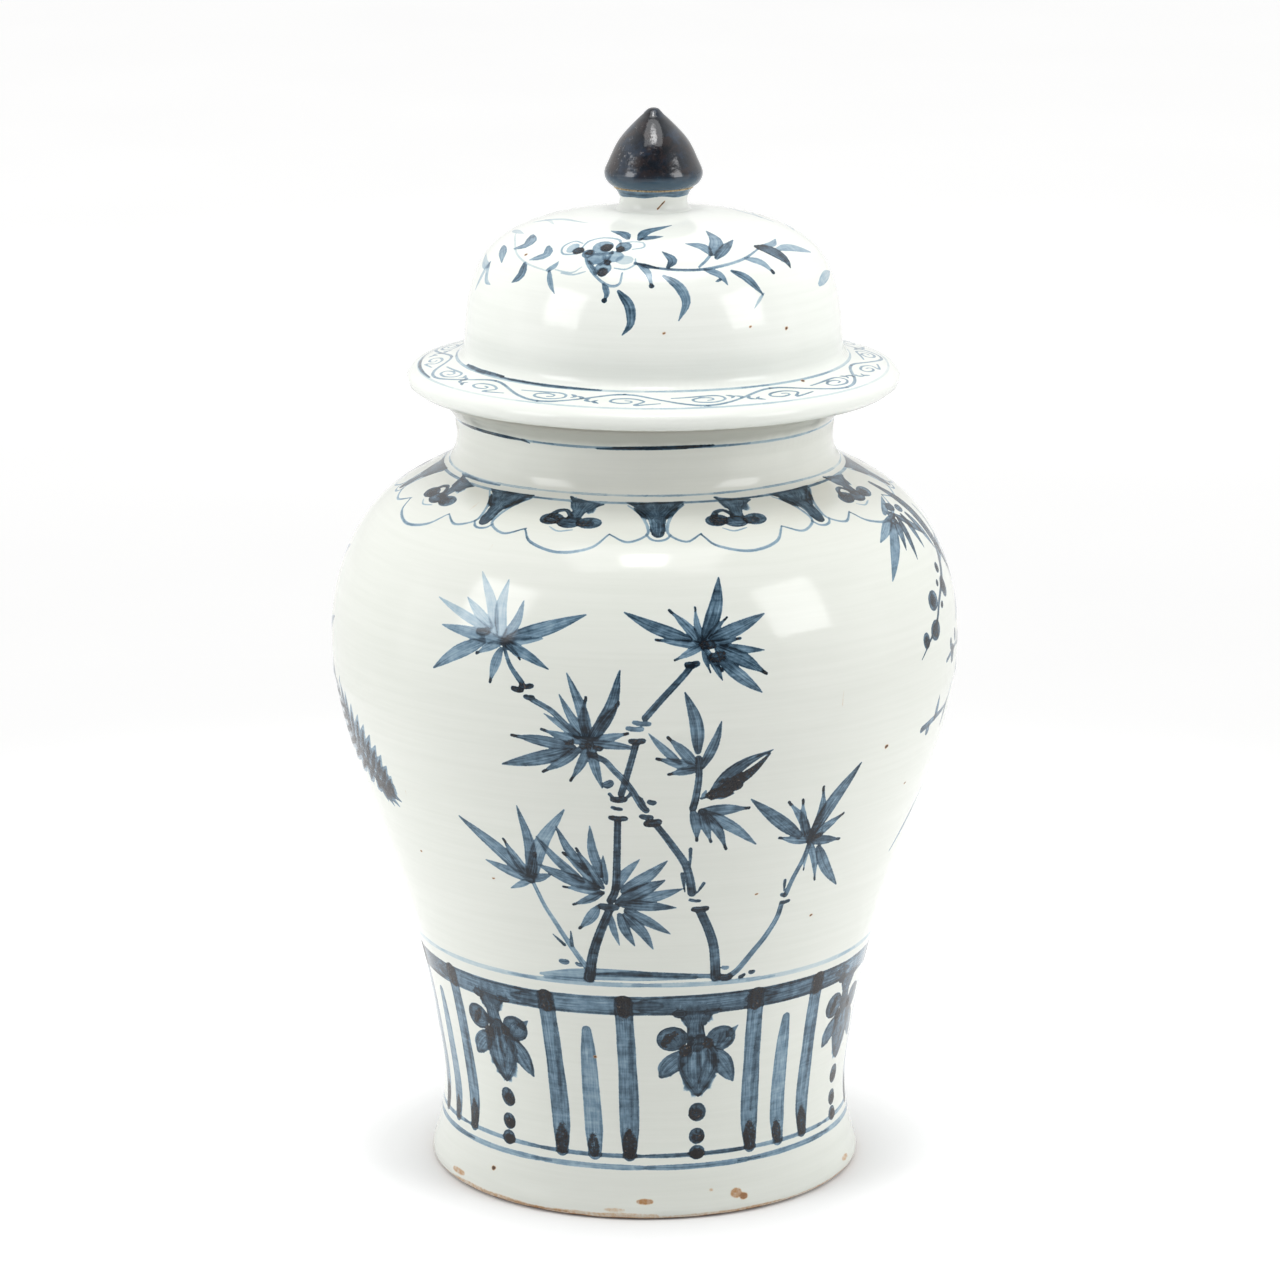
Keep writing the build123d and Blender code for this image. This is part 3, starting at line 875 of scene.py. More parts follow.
def bamboo(brush):
    """The three stems of bamboo on their strip of ground."""
    brush.pull([(-25.5, 119.2), (-17, 121.2), (-8, 122), (4, 121.2), (12, 120.2)],
               [1.5, 5.5, 6.5, 6, 4.2, 2.4], 0.42)
    brush.pull([(-14, 121.4), (-3, 122.6), (8, 121.4), (18.5, 119.6)], [1.2, 2.8, 3.2, 3.2, 2.6, 2.2], 0.66)
    brush.pull([(-24.5, 117.6), (-19, 118.2), (-13, 118.6)], [1.2, 2.0, 1.5], 0.5)
    for (middle, leaves), tone in SPRAYS:
        for tip, width, touch, *own in leaves:
            # a leaf starts a quarter of the way from its own root to the spray's middle
            root = own[0] if own else middle
            root = (0.75 * root[0] + 0.25 * middle[0], 0.75 * root[1] + 0.25 * middle[1])
            # the upper leaves of the top left spray are only a thin wash
            pale = middle == LEFT_TOP[0] and tip[0] < -25 and tip[1] > 300
            bend = chance.uniform(-0.08, 0.08)
            brush.leaf(root, tip, width, touch, tone * (0.55 if pale else 1), bend)
    for points, start, end, tone, burn in STEMS:
        brush.pull(points, np.linspace(start, end, 6), tone, burn, shades=(1.08, 0.96, 1.0, 0.95, 1.1))
    for middle, across, up, tone, burn in KNOTS:
        brush.knot(middle, across * 0.62, up, tone, burn)
    for points in TICKS:
        brush.pull(points, [1.8, 1.5, 0.6], 0.86, 0.3)
    # the one big dark leaf, laid on in three heavy strokes
    brush.pull([(11.6, 219.6), (14.6, 229), (18.4, 236), (23.1, 240.6)],
               [2, 5, 6.5, 6, 4.4, 2.2, 0.6], 0.82, 0.1)
    brush.pull([(12.2, 219), (16.4, 226), (19.6, 231.5), (22.6, 239)],
               [3, 5.5, 5.8, 4.6, 2.8, 0.8], 0.84, 0.6)
    brush.pull([(13.6, 227), (15.4, 227.4), (17, 224)], [1.6, 2.6, 2.4], 0.84, 0.5)
    brush.dab((12.6, 221), 3.4, 4.4, 0.88, 0.6, tilt=1.0)
    brush.dab((14.8, 221.4), 3.2, 4.4, 0.88, 0.62, tilt=1.0)
    brush.dab((16.7, 224), 2.6, 4.4, 0.88, 0.6, tilt=1.2)
    brush.pull([(10.2, 218.6), (12, 219.6), (14, 218.4), (16.2, 220.4)], [0.8, 1.4, 1.2, 0.8], 0.8, 0.3)
    brush.pull([(10.4, 219), (11, 222.6)], [1.6, 2.2, 1.0], 0.6)


def hanging_spray(brush):
    """Bamboo leaves hanging from above, and the knotty flowering twigs under them."""
    for root, tip, width, tone in (
            ((66.5, 335), (56.4, 326.0), 5.6, 0.5), ((65.5, 331.5), (54.4, 307.2), 7.0, 0.6),
            ((68.2, 333.2), (63.9, 318.0), 5.0, 0.7), ((70, 333), (66.7, 311.8), 5.0, 0.72),
            ((73, 333), (72.8, 314.5), 5.0, 0.66), ((76, 332), (79.8, 310.5), 5.5, 0.66),
            ((70, 335), (78, 319), 5.0, 0.66), ((66, 338), (74, 346), 4.0, 0.6)):
        brush.leaf(root, tip, width, False, tone, 0.04)
    for x, y, across, up in (
            (71.5, 339.5, 4.4, 5.4), (68.5, 336, 3.4, 4.4), (75, 336.5, 3.6, 5.0), (67, 332.8, 2.8, 3.6)):
        brush.dab((x, y), across, up, 0.74, 0.2)
    brush.pull([(79, 354), (80.5, 336), (82, 316), (87, 292)], [3.5, 8.5, 9.0, 7.5, 2.6], 0.7, 0.5)
    # the fine stems that carry the twigs
    brush.pull([(87, 292), (89.5, 278), (86, 262)], [2.4, 2.6, 1.6], 0.62, 0.2)
    brush.pull([(89, 274), (87.5, 258), (79, 247)], [1.2, 2.4, 1.6], 0.62, 0.2)
    brush.pull([(88, 262), (90, 232), (84, 206), (76, 193)], [1.0, 2.2, 2.4, 1.8], 0.6, 0.2)
    # the upper twig and its round buds
    brush.pull([(81, 310), (80, 306.2), (76.1, 298.2), (70.5, 289.8), (66.8, 280.2), (62.8, 273.8),
                (59.4, 267.4)],
               [4.0, 3.2, 2.4, 2.2, 1.6, 0.6], 0.76, 0.2)
    for x, y, across, up in (
            (74.8, 303, 2.4, 5.0), (71.8, 297, 1.6, 3.0), (75.0, 293.5, 3.6, 10), (67.2, 291, 4.8, 9.5),
            (71.4, 286.8, 1.8, 3.0), (66.0, 277.6, 4.6, 9.5), (61.6, 275, 2.6, 8.0)):
        brush.dab((x, y), across, up, 0.7, tilt=1.0)
        brush.dab((x, y), across * 0.6, up * 0.62, 0.7, 0.5)
    # the middle twig
    brush.pull([(86, 262), (80, 263), (75, 261.5), (71.8, 259.6)], [1.4, 1.8, 2.4, 2.2], 0.68, 0.2)
    for x, y, across, up in (
            (83.0, 264, 2.6, 9), (76.2, 260.5, 2.6, 10), (74.8, 266, 1.6, 6), (79, 268, 2.0, 6)):
        brush.dab((x, y), across, up, 0.76, 0.4)
    # the lower twig
    brush.pull([(79, 247), (75.5, 237), (68.4, 234), (62.4, 231.6)], [1.4, 1.8, 2.6, 3.4, 3.6], 0.66, 0.1)
    brush.leaf((68.5, 233.4), (69.2, 244.5), 4.4, False, 0.66)
    brush.leaf((75.8, 238), (74.1, 225.5), 3.6, False, 0.7, 0, 0.3)
    brush.dab((65.4, 229.6), 1.7, 5.4, 0.7, 0.1)
    brush.pull([(76, 193), (71, 180), (65.5, 166)], [1.8, 3.2, 2.8, 0.8], 0.6, 0.3)


def along_line(points, share):
    """The place at a share of the way along a list of points, which count as evenly spaced."""
    steps = np.linspace(0, 1, len(points))
    return [float(np.interp(share, steps, [point[axis] for point in points])) for axis in (0, 1)]


def feather(brush):
    """A dark feathered frond at the side: a shaft on a leafy stem, with pairs of barbs."""
    shaft = ((-79, 245), (-74.5, 226), (-67.5, 210.5), (-59.4, 198.4))
    right_edge = ((-75, 250), (-70.9, 242), (-66.6, 237), (-63.4, 232), (-60.8, 226), (-58.8, 220),
                  (-57.2, 213), (-56.8, 206))
    left_edge = ((-90, 246), (-92, 234), (-90, 224), (-85, 215), (-79, 209), (-73, 203.5), (-67, 199.5),
                 (-61, 197))
    brush.pull([along_line(shaft, share) for share in (0, 0.33, 0.66, 1)], [1.5, 5, 7.5, 7, 5, 2], 0.7, 0.45)
    for share in np.arange(11) / 10:
        for edge, root in ((right_edge, min(0.97, 0.3 + 0.72 * share)), (left_edge, 0.9 * share)):
            inner, tip = along_line(shaft, root), along_line(edge, share)
            part = [a + 0.8 * (b - a) for a, b in zip(inner, tip)]
            brush.pull([inner, tip], [2.4, 5.4, 7.0, 6.8, 4.2, 0.8], 0.52, 0.2)
            brush.pull([inner, part], [1.6, 3.2, 3.0, 0.6], 0.78, 0.55)
    brush.pull([(-78, 243), (-85, 256), (-92, 276), (-96, 304), (-97, 330)],
               [5.0, 3.6, 3.0, 3.4, 2.0], 0.66, 0.3)
    for root, tip in (((-89, 266), (-80, 276)), ((-93, 284), (-103, 272)),
                      ((-95, 298), (-86, 308)), ((-96, 312), (-105, 302))):
        brush.leaf(root, tip, 6.0, False, 0.6, 0.05)
    for tip in ((-55.8, 198.5), (-57.2, 195), (-59.6, 194), (-62, 195)):
        brush.pull([along_line(shaft, 0.82), tip], [2.5, 4.4, 4.2, 0.8], 0.66, 0.35)


def marks(brush):
    """Pinholes, tan streaks, rust and the wiped edge of the glaze."""
    brush.pinholes((
        (50, 230.5, 2.0), (24, 163.5, 1.0), (40, 145.5, 1.3), (-13, 77, 1.4), (-45.5, 11, 2.4),
        (-54, 173, 1.2), (-33, 169, 0.9), (61, 205, 1.1), (140, 228, 1.8), (-150, 180, 1.5),
        (-120, 264, 1.3), (100, 60, 1.5)), 0.95)
    for x, y, long in (
            (-34, 333, 3), (37, 260, 7), (-53, 205, 3), (-47, 355, 6), (120, 300, 5), (-140, 150, 4)):
        brush.pull([(x, y - long / 2), (x + 0.2, y + long / 2)], [0.8, 1.4, 0.6], 0.3, layer="stain")
    for x, y, across, up, tone in (
            (0, 5.6, 5.0, 3.0, 0.62), (25, 6.5, 3.6, 5.0, 0.6), (27, 4.6, 2.6, 3.6, 0.7),
            (18, 9.4, 1.2, 1.6, 0.5), (-8, 1.5, 6, 2, 0.4), (70, 3.5, 5, 3, 0.5),
            (-60, 2.5, 7, 3, 0.55), (150, 4, 6, 4, 0.6), (-130, 5, 4, 4, 0.5)):
        brush.dab((x, y), across, up, tone, layer="stain")
    # the bare edge of the foot, where the glaze was wiped off unevenly
    for start in range(-180, 180, 12):
        wiped = chance.uniform(0.8, 2.6) * (1.7 if -62 < start < -2 else 0.8)
        for level, width, tone in ((-1.6, wiped, chance.uniform(0.42, 0.62)), (-3.6, 2.6, 0.82)):
            brush.pull([(start - 3, level), (start + 5, level), (start + 15, level)],
                       [width * 0.6, width, width * 0.7], tone, layer="stain")


def paint_jar(outside, neck_foot):
    lower_border(outside)
    for place in (round_by(0), behind):
        brush = Brush(outside, place)
        bamboo(brush)
        hanging_spray(brush)
        feather(brush)
    shoulder_border(outside)
    # the neck: a thin line at its foot, and one under the lip drawn in several goes
    neck = Brush(outside, lambda x, y: (x, neck_foot + y))
    neck.ring(2.2, 1.1, 0.26, 0.45, patches=0.4, seed=1.2)
    neck.line([(-66, 0.8), (-56, 0.9), (-46, 1.2)], 1.3, 0.62)
    neck.ring(24.6, 1.5, 0.42, 0.5, patches=0.3, seed=2.2)
    neck.line([(-71, 24.8), (-54, 25.2), (-38, 25)], 2.0, 0.86, 0.2)
    neck.pull([(-38, 25), (-36, 23.6)], [1.6, 1.2, 0.5], 0.8, 0.2)
    neck.line([(-9, 25.2), (6, 25.6), (20, 25.6)], 1.7, 0.93, 0.4)
    neck.line([(-14, 24.2), (0, 24.6), (12, 24.6)], 1.2, 0.8, 0.2)
    neck.line([(130, 25), (150, 25.4), (168, 24.8)], 1.9, 0.8, 0.2)
    neck.line([(-150, 25), (-128, 25.4), (-108, 25.2)], 1.8, 0.7, 0.1)
    marks(Brush(outside))


# ---------------------------------------------------------------- the lid's painting

def petal(brush, points, width, tone=0.55, touch=False):
    """A short leaf of the blossom branch that swells and thins again."""
    widths = width * np.array([0.4, 0.85, 1.0, 0.9, 0.55, 0.3 if touch else 0.12])
    brush.pull(points, widths, tone * chance.uniform(0.9, 1.1), shades=(1.15, 0.95, 0.95, 1.1))
    if touch:
        brush.dab(points[-1], 1.6, 2.2, 0.92, 0.45)


def blossom_branch(brush):
    """An open blossom with leafy twigs to both sides, on the dome."""
    # washes inside the blossom, then its petals' outlines and its dark dabs
    for x, y, across, up, tone in (
            (-22, 99, 9, 10, 0.42), (-16, 92, 9, 8, 0.36), (-22, 90, 8, 8, 0.45), (-13, 100, 7, 8, 0.5),
            (-18, 84, 6, 7, 0.46), (-35, 96, 5, 8, 0.3), (-26.5, 93, 5, 6, 0.5), (-11, 90, 7, 6, 0.2)):
        brush.dab((x, y), across, up, tone)
    for points, width, tone in (
            ([(-31, 97), (-30.5, 103), (-25, 107.3), (-17, 106.4), (-14.5, 101)], 1.3, 0.4),
            ([(-15, 103), (-10, 104.8), (-5, 104), (-4.4, 100), (-9, 98)], 1.1, 0.34),
            ([(-31, 92), (-37, 91), (-40, 96), (-37.5, 101.5), (-32.5, 100.5)], 1.2, 0.42),
            ([(-28, 93), (-24.5, 86), (-20, 79.6), (-15, 75.2), (-11.4, 76), (-10.8, 82)], 1.3, 0.5),
            ([(-7, 91), (-7, 87), (-10, 84), (-14, 84.5)], 1.0, 0.35),
            ([(-24.5, 88), (-21, 83), (-20, 80.5)], 1.6, 0.72),
            ([(-27.5, 93.5), (-22, 93), (-16.5, 94.5)], 1.5, 0.7),
            ([(-17, 96), (-17.4, 90), (-19.5, 86)], 1.4, 0.66),
            ([(-24, 81.6), (-28, 79.4), (-33, 79.6)], 0.9, 0.3),
            ([(-26, 84), (-29, 80.4), (-36, 81)], 0.8, 0.28)):
        brush.line(points, width, tone)
    for x, y, across, up in (
            (-31.5, 94.5, 4.8, 5.0), (-20.2, 98.6, 5.4, 6.2), (-14, 97.8, 3.6, 4.6),
            (-17.8, 82, 3.6, 5.0), (-17, 87.6, 2.2, 3.4), (-26.3, 94, 2.6, 3.2)):
        brush.dab((x, y), across, up, 0.93, 0.45)
    # the twig to the right and the leaves under the blossom
    brush.line([(-6.4, 87.8), (3, 84.6), (15, 83.4), (25, 85), (35, 88), (46, 93.4)], 1.6, 0.5,
               shades=(1.5, 1.3, 0.9, 1.0))
    brush.pull([(-6.8, 88), (-3, 86.4), (1, 85)], [1.5, 2.6, 1.2], 0.7, 0.1)
    for points, width, tone, touch in (
            ([(46, 94.4), (50.5, 90.5), (53.4, 84), (53, 79)], 8.5, 0.82, False),
            ([(50, 94.5), (56, 94.4), (62, 97)], 3.6, 0.5, False),
            ([(55, 90.4), (64, 89), (74.5, 82.6)], 5.6, 0.44, False),
            ([(36, 87.6), (41, 84.6), (43.6, 78.4)], 4.4, 0.46, True),
            ([(27.5, 81.4), (32, 77), (36.4, 68.4)], 4.2, 0.6, False),
            ([(36.8, 69), (34.4, 66), (32.2, 62.6)], 1.6, 0.3, False),
            ([(18, 83), (22.5, 80), (24.4, 74.6)], 3.8, 0.56, False),
            ([(22.6, 77.6), (20.4, 76.6)], 1.4, 0.7, False),
            ([(-5.4, 87), (-2, 82), (-0.8, 75.4)], 3.2, 0.52, True),
            ([(3.4, 80.4), (8, 75), (10, 67.6), (7.4, 59.4)], 4.8, 0.58, False),
            ([(-11.2, 72.4), (-7.6, 66), (-7, 58), (-9.4, 52.8)], 4.8, 0.72, False),
            ([(-16.6, 75.4), (-15, 71.6), (-15.6, 68)], 3.0, 0.62, True),
            ([(5, 85.8), (7, 90), (3.4, 96.4)], 4.4, 0.62, False)):
        petal(brush, points, width, tone, touch)
    brush.line([(16, 85), (19.6, 89), (23, 93.4)], 1.4, 0.55)
    # its three upright leaves, the leaves above the blossom, and the fainter twig to the left
    for points, width, tone in (
            ([(23, 93), (29.5, 103), (31, 114.5)], 6.6, 0.56),
            ([(22.4, 93.4), (21, 99.4), (14.4, 102.6)], 5.6, 0.5),
            ([(24, 90), (31, 97), (38.4, 102.6)], 5.0, 0.62),
            ([(-12.8, 107.6), (-16.5, 113), (-25.4, 115.6)], 5.0, 0.62),
            ([(-7, 107), (-4.6, 116), (4, 121.4), (13, 125)], 5.4, 0.64),
            ([(-6, 107.6), (-1, 109.6), (4.8, 110.6)], 4.2, 0.6)):
        petal(brush, points, width, tone)
    brush.line([(-38, 79.6), (-50, 82), (-60, 86), (-70, 91.6), (-81, 95.4)], 1.0, 0.2)
    for points, width, tone in (
            ([(-38, 80), (-35.6, 74), (-33, 69.4)], 3.0, 0.5),
            ([(-39, 80.4), (-37, 82.6), (-36.4, 85.8)], 3.2, 0.5),
            ([(-47.4, 94.4), (-44, 89), (-50, 84)], 5.0, 0.48),
            ([(-51, 81.4), (-49.4, 76), (-52.4, 71.4)], 5.2, 0.7),
            ([(-66, 99), (-59.6, 93.4), (-64.6, 87.8)], 6.4, 0.55),
            ([(-75, 86.6), (-68, 83), (-64, 79)], 5.0, 0.5),
            ([(-73, 76.6), (-69, 69), (-64.6, 67.6)], 3.4, 0.36),
            ([(-73, 77), (-74.4, 70), (-76.4, 62)], 3.6, 0.32),
            ([(-72, 75), (-78, 75), (-86, 78.4)], 4.6, 0.3),
            ([(-91, 105), (-76, 118), (-50, 122)], 2.8, 0.24),
            ([(-89, 110.6), (-80, 112.4), (-69, 112)], 1.8, 0.2),
            ([(-91, 94.6), (-83, 96.6), (-74, 98)], 3.0, 0.26),
            ([(65.6, 67.4), (74, 69.6), (83, 69.6)], 5.0, 0.34)):
        petal(brush, points, width, tone)


SCROLL_MIDDLE = 17.2   # mm up the flange, where the running scroll swings up and down
SCROLL_SWING = 6.8     # mm
CURL_ACROSS = 5.6      # degrees
CURL_UP = 4.9          # mm


def half_wave(brush, start, end, swing, tone):
    """Half a wave of the running scroll, between two of its turning points."""
    shares = (0, 0.15, 0.32, 0.5, 0.68, 0.85, 1)
    wave = [(start + (end - start) * t, SCROLL_MIDDLE + swing * math.cos(math.pi * t)) for t in shares]
    brush.line(wave, 1.6, tone, ends=0.9)


def scroll(brush, crest, trough):
    """One wave of the scroll on the flange, from a crest down to the next trough, with its curls."""
    half = trough - crest
    middle = crest + half / 2
    tone = 0.52 * chance.uniform(0.85, 1.15)
    half_wave(brush, crest, trough, SCROLL_SWING, tone)
    for hub, tail, turn in (
            (crest + 0.02 * half, (middle - 0.05 * half, 13.5), 1),
            (trough + 0.02 * half, (middle + 0.1 * half, 20), -1)):
        curl = [tail]
        for k in range(9):
            angle = math.radians(-60 + 62 * k)
            size = 1 - k / 10.5
            curl.append((hub + CURL_ACROSS * size * math.cos(angle) * abs(half) / 21,
                         16.6 - 0.8 * turn + turn * CURL_UP * size * math.sin(angle)))
        brush.line(curl, 1.35, tone * 0.95, ends=0.7)
        # two small leaves beside each curl
        for out, low, high in ((7.0, 4.4, 0.6), (9.2, 3.0, -0.6)):
            places = ((out - 0.8, low), (out + 0.7, (low + high) / 2), (out - 0.2, high))
            comma = [(hub - turn * x, 16.8 - turn * y) for x, y in places]
            brush.pull(comma, [0.8, 2.0, 1.5, 0.7], tone * 1.05)


def paint_lid(outside):
    brush = Brush(outside)
    blossom_branch(brush)
    blossom_branch(Brush(outside, round_by(183)))
    brush.ring(26.6, 1.4, 0.3, 0.2, patches=0.3, seed=0.3)
    brush.ring(8.4, 1.3, 0.18, 0.35, patches=0.4, seed=1.7)
    brush.line([(-71, 27.8), (-60, 27.8), (-49, 28)], 1.9, 0.78, 0.1)
    brush.line([(-50, 27.4), (-32, 27.2), (-15, 26.8)], 1.4, 0.78, 0.1)
    brush.line([(-118, 8.8), (-94, 8.8), (-71, 8.8)], 1.4, 0.75, 0.1)
    brush.line([(100, 27.4), (118, 27.6), (140, 27)], 1.6, 0.7)
    crests = (-50, -8, 34, 76, 115, 154, 193, 232, 271, 310)
    for crest, following in zip(crests, crests[1:]):
        trough = (crest + following) / 2
        scroll(brush, crest, trough)
        half_wave(brush, trough, following, -SCROLL_SWING, 0.5)
    brush.pinholes((
        (3, 53.7, 1.2), (43.5, 51.7, 1.6), (-54, 86.5, 1.6), (47, 25.5, 2.0), (30, 54.6, 1.0),
        (140, 60, 1.5), (-130, 48, 1.3)), 0.9)


# ---------------------------------------------------------------- materials

class Nodes:
    """A short way to build the nodes of a material or of the world."""

    def __init__(self, owner, shader="ShaderNodeBsdfPrincipled", output="ShaderNodeOutputMaterial"):
        owner.use_nodes = True
        self.owner = owner
        self.tree = owner.node_tree
        self.tree.nodes.clear()
        self.shader = self.tree.nodes.new(shader)
        self.tree.links.new(self.shader.outputs[0], self.tree.nodes.new(output).inputs["Surface"])

    def put(self, value, socket):
        if isinstance(value, bpy.types.NodeSocket):
            self.tree.links.new(value, socket)
        elif value is not None:
            socket.default_value = value

    def math(self, operation, a, b=None, c=None, clamp=False):
        node = self.tree.nodes.new("ShaderNodeMath")
        node.operation = operation
        node.use_clamp = clamp
        for value, socket in zip((a, b, c), node.inputs):
            self.put(value, socket)
        return node.outputs[0]

    def smooth(self, value, low, high):
        """0 below low, 1 above high, and smooth between."""
        node = self.tree.nodes.new("ShaderNodeMapRange")
        node.interpolation_type = "SMOOTHSTEP"
        self.put(value, node.inputs[0])
        node.inputs[1].default_value = low
        node.inputs[2].default_value = high
        return node.outputs[0]

    def layer(self, name):
        node = self.tree.nodes.new("ShaderNodeAttribute")
        node.attribute_name = name
        return node

    def split(self, vector):
        node = self.tree.nodes.new("ShaderNodeSeparateXYZ")
        self.put(vector, node.inputs[0])
        return node.outputs

    def join(self, x, y, z):
        node = self.tree.nodes.new("ShaderNodeCombineXYZ")
        for value, socket in zip((x, y, z), node.inputs):
            self.put(value, socket)
        return node.outputs[0]

    def noise(self, size, detail=3.0, rough=0.5, vector=None, stretch=(1, 1, 1)):
        """Noise whose lumps are about size metres across, 0 to 1 and centred on a half."""
        mapping = self.tree.nodes.new("ShaderNodeMapping")
        mapping.inputs["Scale"].default_value = [s / size for s in stretch]
        self.put(vector or self.here(), mapping.inputs[0])
        node = self.tree.nodes.new("ShaderNodeTexNoise")
        node.inputs["Scale"].default_value = 1.0
        node.inputs["Detail"].default_value = detail
        node.inputs["Roughness"].default_value = rough
        self.put(mapping.outputs[0], node.inputs[0])
        return node.outputs[0]

    def here(self):
        if not hasattr(self, "place"):
            self.place = self.tree.nodes.new("ShaderNodeTexCoord").outputs["Object"]
        return self.place

    def ramp(self, value, stops):
        node = self.tree.nodes.new("ShaderNodeValToRGB")
        ramp = node.color_ramp
        while len(ramp.elements) < len(stops):
            ramp.elements.new(0.5)
        for element, (place, colour) in zip(ramp.elements, stops):
            element.position = place
            element.color = (*colour, 1)
        self.put(value, node.inputs[0])
        return node.outputs[0]

    def mix(self, share, a, b, mode="MIX"):
        node = self.tree.nodes.new("ShaderNodeMix")
        node.data_type = "RGBA"
        node.blend_type = mode
        self.put(share, node.inputs[0])
        for value, socket in ((a, node.inputs[6]), (b, node.inputs[7])):
            self.put((*value, 1) if isinstance(value, tuple) else value, socket)
        return node.outputs[2]

    def bump(self, height, distance, strength=1.0, after=None):
        node = self.tree.nodes.new("ShaderNodeBump")
        node.inputs["Strength"].default_value = strength
        node.inputs["Distance"].default_value = distance
        self.put(height, node.inputs["Height"])
        if after is not None:
            self.put(after, node.inputs["Normal"])
        return node.outputs[0]

    def set(self, **sockets):
        """Fills the shader's sockets and gives back the material or world."""
        for name, value in sockets.items():
            if isinstance(value, tuple):
                value = (*value, 1)
            self.put(value, self.shader.inputs[name.replace("_", " ")])
        return self.owner


# The cobalt from a thin wash to a heaped stroke
BLUES = [
    (0.15, (0.54, 0.615, 0.635)),
    (0.35, (0.30, 0.41, 0.49)),
    (0.55, (0.135, 0.22, 0.30)),
    (0.75, (0.043, 0.079, 0.117)),
    (1.0, (0.007, 0.012, 0.019)),
]


def painted_glaze(name, white):
    """Off-white glaze over brushed cobalt, which has gone rusty black where it lies thick."""
    n = Nodes(bpy.data.materials.new(name))
    cover, tone, burn = n.split(n.layer("paint").outputs["Vector"])
    across, along, rim = n.split(n.layer("brush").outputs["Vector"])
    # the marks of the brush's hairs run along each stroke
    hair = n.join(n.math("MULTIPLY", across, 1.5), n.math("MULTIPLY", along, 0.05), 0.0)
    hair = n.noise(1.0, 2.0, 0.6, hair)
    pool = n.noise(0.005, 3.0, 0.6)
    crumb = n.noise(0.0011, 2.0, 0.6)
    frayed = n.math("MULTIPLY_ADD", n.noise(0.0009, 2.0, 0.6), 0.5, n.math("SUBTRACT", cover, 0.25))
    edge = n.smooth(frayed, 0.32, 0.68)
    turned_lines = n.noise(0.0012, 1.0, 0.5, stretch=(0.03, 0.03, 1))
    strength = 1.0
    for texture, share in ((hair, 0.95), (pool, 0.8), (turned_lines, 0.35)):
        strength = n.math("MULTIPLY_ADD", n.math("SUBTRACT", texture, 0.5), share, strength)
    # the blue lies thicker along the edges of a stroke
    heaped = n.math("MULTIPLY_ADD", n.math("POWER", rim, 5.0), 0.3, n.math("SUBTRACT", strength, 0.04))
    ink = n.math("MULTIPLY", n.math("MULTIPLY", tone, heaped, clamp=True), edge)
    colour = n.ramp(ink, [(0.0, white)] + BLUES)
    # the glaze itself pools greener and greyer in broad patches
    patch = n.noise(0.07, 3.0, 0.55)
    colour = n.mix(n.math("MULTIPLY", patch, 0.5), colour, (0.95, 0.985, 0.955), "MULTIPLY")
    turning = n.smooth(n.noise(0.0028, 3.0, 0.7, stretch=(0.03, 0.03, 1)), 0.3, 0.7)
    colour = n.mix(n.math("MULTIPLY", turning, 0.5), colour, (0.93, 0.935, 0.925), "MULTIPLY")
    # rusty black crusts and a few pale flecks in them
    crust = n.math("MULTIPLY_ADD", crumb, 1.1, n.math("SUBTRACT", burn, 0.55))
    rust = n.math("MULTIPLY", n.smooth(crust, 0.42, 0.62), edge)
    colour = n.mix(n.math("MULTIPLY", rust, 0.92), colour, (0.012, 0.009, 0.0088))
    fleck = n.math("MULTIPLY", n.smooth(n.noise(0.0016, 1.0, 0.5), 0.66, 0.76), n.smooth(burn, 0.3, 0.6))
    colour = n.mix(n.math("MULTIPLY", fleck, n.math("MULTIPLY", edge, 0.5)), colour, (0.20, 0.15, 0.12))
    # painted shade in the shadow under the lid's flange: the top of the neck, and the flange's underside,
    # darker from about 366 mm up to 379 mm
    height = n.math("MULTIPLY_ADD", n.noise(0.006, 3.0), 0.002, n.split(n.here())[2])
    below_lip = n.math("SUBTRACT", 1.0, n.smooth(height, 0.3785, 0.3795))
    painted_shade_under_flange = n.math("MULTIPLY", n.smooth(height, 0.3655, 0.3705), below_lip)
    colour = n.mix(n.math("MULTIPLY", painted_shade_under_flange, 0.8), colour, (0.56, 0.555, 0.53), "MULTIPLY")
    stain = n.layer("stain").outputs["Fac"]
    uneven = n.math("MULTIPLY_ADD", n.noise(0.0018, 3.0, 0.6), 0.7, n.math("SUBTRACT", stain, 0.35))
    seep = n.math("MULTIPLY", n.smooth(uneven, 0.1, 0.75), n.smooth(stain, 0.02, 0.3))
    brown = n.ramp(stain, [
        (0.0, (0.62, 0.50, 0.33)), (0.5, (0.50, 0.29, 0.13)), (0.65, (0.34, 0.17, 0.07)),
        (0.85, (0.10, 0.05, 0.028)), (1.0, (0.05, 0.025, 0.014)),
    ])
    colour = n.mix(seep, colour, brown)
    # orange peel, throwing rings and the raised crusts
    peel = n.noise(0.0035, 2.0, 0.5)
    rings = n.noise(0.009, 2.0, 0.5, stretch=(0.02, 0.02, 1))
    normal = n.bump(peel, 0.00006, 0.5)
    normal = n.bump(rings, 0.00025, 0.45, normal)
    normal = n.bump(rust, 0.00004, 0.6, normal)
    rough = n.math("MULTIPLY_ADD", rust, 0.2, n.math("MULTIPLY_ADD", n.noise(0.02, 2.0), 0.05, 0.09))
    return n.set(Base_Color=colour, Roughness=rough, IOR=1.5, Specular_IOR_Level=0.32, Normal=normal)


